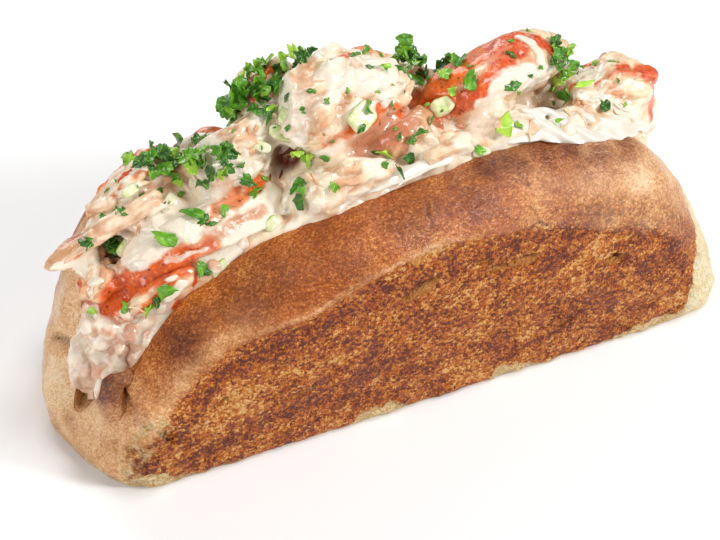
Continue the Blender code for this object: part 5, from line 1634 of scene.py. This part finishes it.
# %% Scatter the leaves
random = np.random.default_rng(5)
rows_of = [np.array(LEAVES)]
for centre, spread, count, long, _ in HEAPS:
    place = np.array(centre) + random.normal(size=(count, 3)) * spread * 0.6
    length = long * random.uniform(0.7, 1.25, (count, 1))
    rows_of.append(np.concatenate([place, length, length * random.uniform(0.6, 0.95, (count, 1))], 1))
leaves = np.concatenate(rows_of)
stands = [np.full(count, stand) for _, _, count, _, stand in HEAPS]
heaped = np.concatenate([np.zeros(len(LEAVES))] + stands)
spots, normals, found = land(leaves[:, :3])
lift = ((leaves[:, :3] - spots) @ TO_EATER).clip(0, 2.5 + 1.5 * (heaped > 0))
spots = np.where(found[:, None], spots + lift[:, None] * TO_EATER, leaves[:, :3])
normals = np.where(found[:, None], normals, TO_EATER)
ruffle = random.uniform(0.2, 1.2, len(leaves))
notched = np.where((heaped > 0) | (leaves[:, 2] > 54), 0.24, 0.12)
long, wide = leaves[:, 3], leaves[:, 4]
shapes, vein, under = scraps(long, wide, ruffle, notched, random, LEAF_SHARES, LEAF_COLUMNS)
turns = [frames(normals[i : i + 1], random, 0.3 + 0.8 * heaped[i]) for i in range(len(leaves))]
turns = np.concatenate(turns)
flat, faces = closed_grid(place_copies(shapes, turns, spots + 0.35 * normals))
tone = np.repeat(random.uniform(0, 1, len(leaves)), len(flat) // len(leaves))
marks = {"tone": tone, "vein": grid_marks(vein), "under": grid_marks(under)}
add_piece("parsley_leaves", flat, faces, parsley_green, marks)

# %% Scatter the flecks
FLECKS = 60
dropped = np.stack([random.uniform(-68, 60, 600), random.uniform(-13, 13, 600), np.full(600, 60.0)], -1)
spots, normals, found = land(dropped)
spots, normals = spots[found][:FLECKS], normals[found][:FLECKS]
long = random.uniform(0.8, 2.8, FLECKS) ** 1.1
wide = long * random.uniform(0.3, 0.7, FLECKS)
ruffle, notched = np.full(FLECKS, 0.5), np.full(FLECKS, 0.15)
shapes, vein, under = scraps(long, wide, ruffle, notched, random, FLECK_SHARES, FLECK_COLUMNS)
flat, faces = closed_grid(place_copies(shapes, frames(normals, random, 0.3), spots + 0.15 * normals))
tone = np.repeat(random.uniform(0, 0.8, FLECKS), len(flat) // FLECKS)
marks = {"tone": tone, "vein": grid_marks(vein), "under": grid_marks(under)}
add_piece("parsley_flecks", flat, faces, parsley_green, marks)

# %% [markdown]
# ## Floor, light and camera
# Food like this is shot on a white sweep under soft lights, so that the shadows are faint and every wet
# surface has a small soft highlight. Four lamps stand round it: one overhead, one low on the left, one
# behind, and a small hard one in front on the right, which picks out the crust and the claw. Weak white light
# fills the rest.

# %% Floor and light
FLOOR_HALF = 2.5  # metres


def white_sweep():
    """Matt white paper: nearly all light comes back, with no shine."""
    material, tree, shader, _, _ = new_finish("matt_white_paper")
    plug(tree, shader, {"Base Color": "#f8f8f8", "Roughness": 0.8, "Specular IOR Level": 0.2})
    return material


floor_mesh = bpy.data.meshes.new("floor")
corners = [(i * FLOOR_HALF, j * FLOOR_HALF, 0) for i, j in ((-1, -1), (1, -1), (1, 1), (-1, 1))]
floor_mesh.from_pydata(corners, [], [(0, 1, 2, 3)])
floor_mesh.materials.append(white_sweep())
floor = bpy.data.objects.new("floor", floor_mesh)
bpy.context.scene.collection.objects.link(floor)

LIGHTS = (  # name, place in metres, size in metres, watts
    ("overhead", (0.16, -0.08, 0.72), 0.2, 1.7), ("left", (-0.72, -0.30, 0.42), 0.4, 3.5),
    ("back", (0.05, 0.72, 0.50), 0.5, 3.4), ("front_right", (0.47, -0.44, 0.37), 0.15, 3.7),
)
LIT = Vector((0, 0, 0.03))  # the place that the lamps face, in metres
ROOM_LIGHT = 0.18
for name, place, size, watts in LIGHTS:
    lamp = bpy.data.lights.new(name, "AREA")
    lamp.size = size
    lamp.energy = watts
    light = bpy.data.objects.new(name, lamp)
    light.location = place
    light.rotation_euler = (Vector(place) - LIT).to_track_quat("Z", "Y").to_euler()
    bpy.context.scene.collection.objects.link(light)
world = bpy.data.worlds.new("white_room")
bpy.context.scene.world = world
world.use_nodes = True
plug(world.node_tree, world.node_tree.nodes["Background"], {"Color": "#ffffff", "Strength": ROOM_LIGHT})
print("lamps:", [name for name, *_ in LIGHTS], "and a room at", ROOM_LIGHT)

# %% Camera
AZIMUTH, ELEVATION = -25.18, 39.0  # degrees: 0 looks along +Y, and minus comes round from the left
DISTANCE, LENS = 436.06, 100.0
TARGET = Vector((-6.37, 0.0, 18.58))
azimuth, elevation = np.radians([AZIMUTH, ELEVATION])
aside = Vector((np.sin(azimuth) * np.cos(elevation), -np.cos(azimuth) * np.cos(elevation), np.sin(elevation)))
lens = bpy.data.cameras.new("camera")
lens.lens = LENS
lens.clip_start = 0.01
camera = bpy.data.objects.new("camera", lens)
camera.location = (TARGET + aside * DISTANCE) * MM
camera.rotation_euler = aside.to_track_quat("Z", "Y").to_euler()
bpy.context.scene.collection.objects.link(camera)
bpy.context.scene.camera = camera
bpy.context.scene.view_settings.view_transform = "Standard"
print("the camera is at", [round(c, 3) for c in camera.location], "metres")
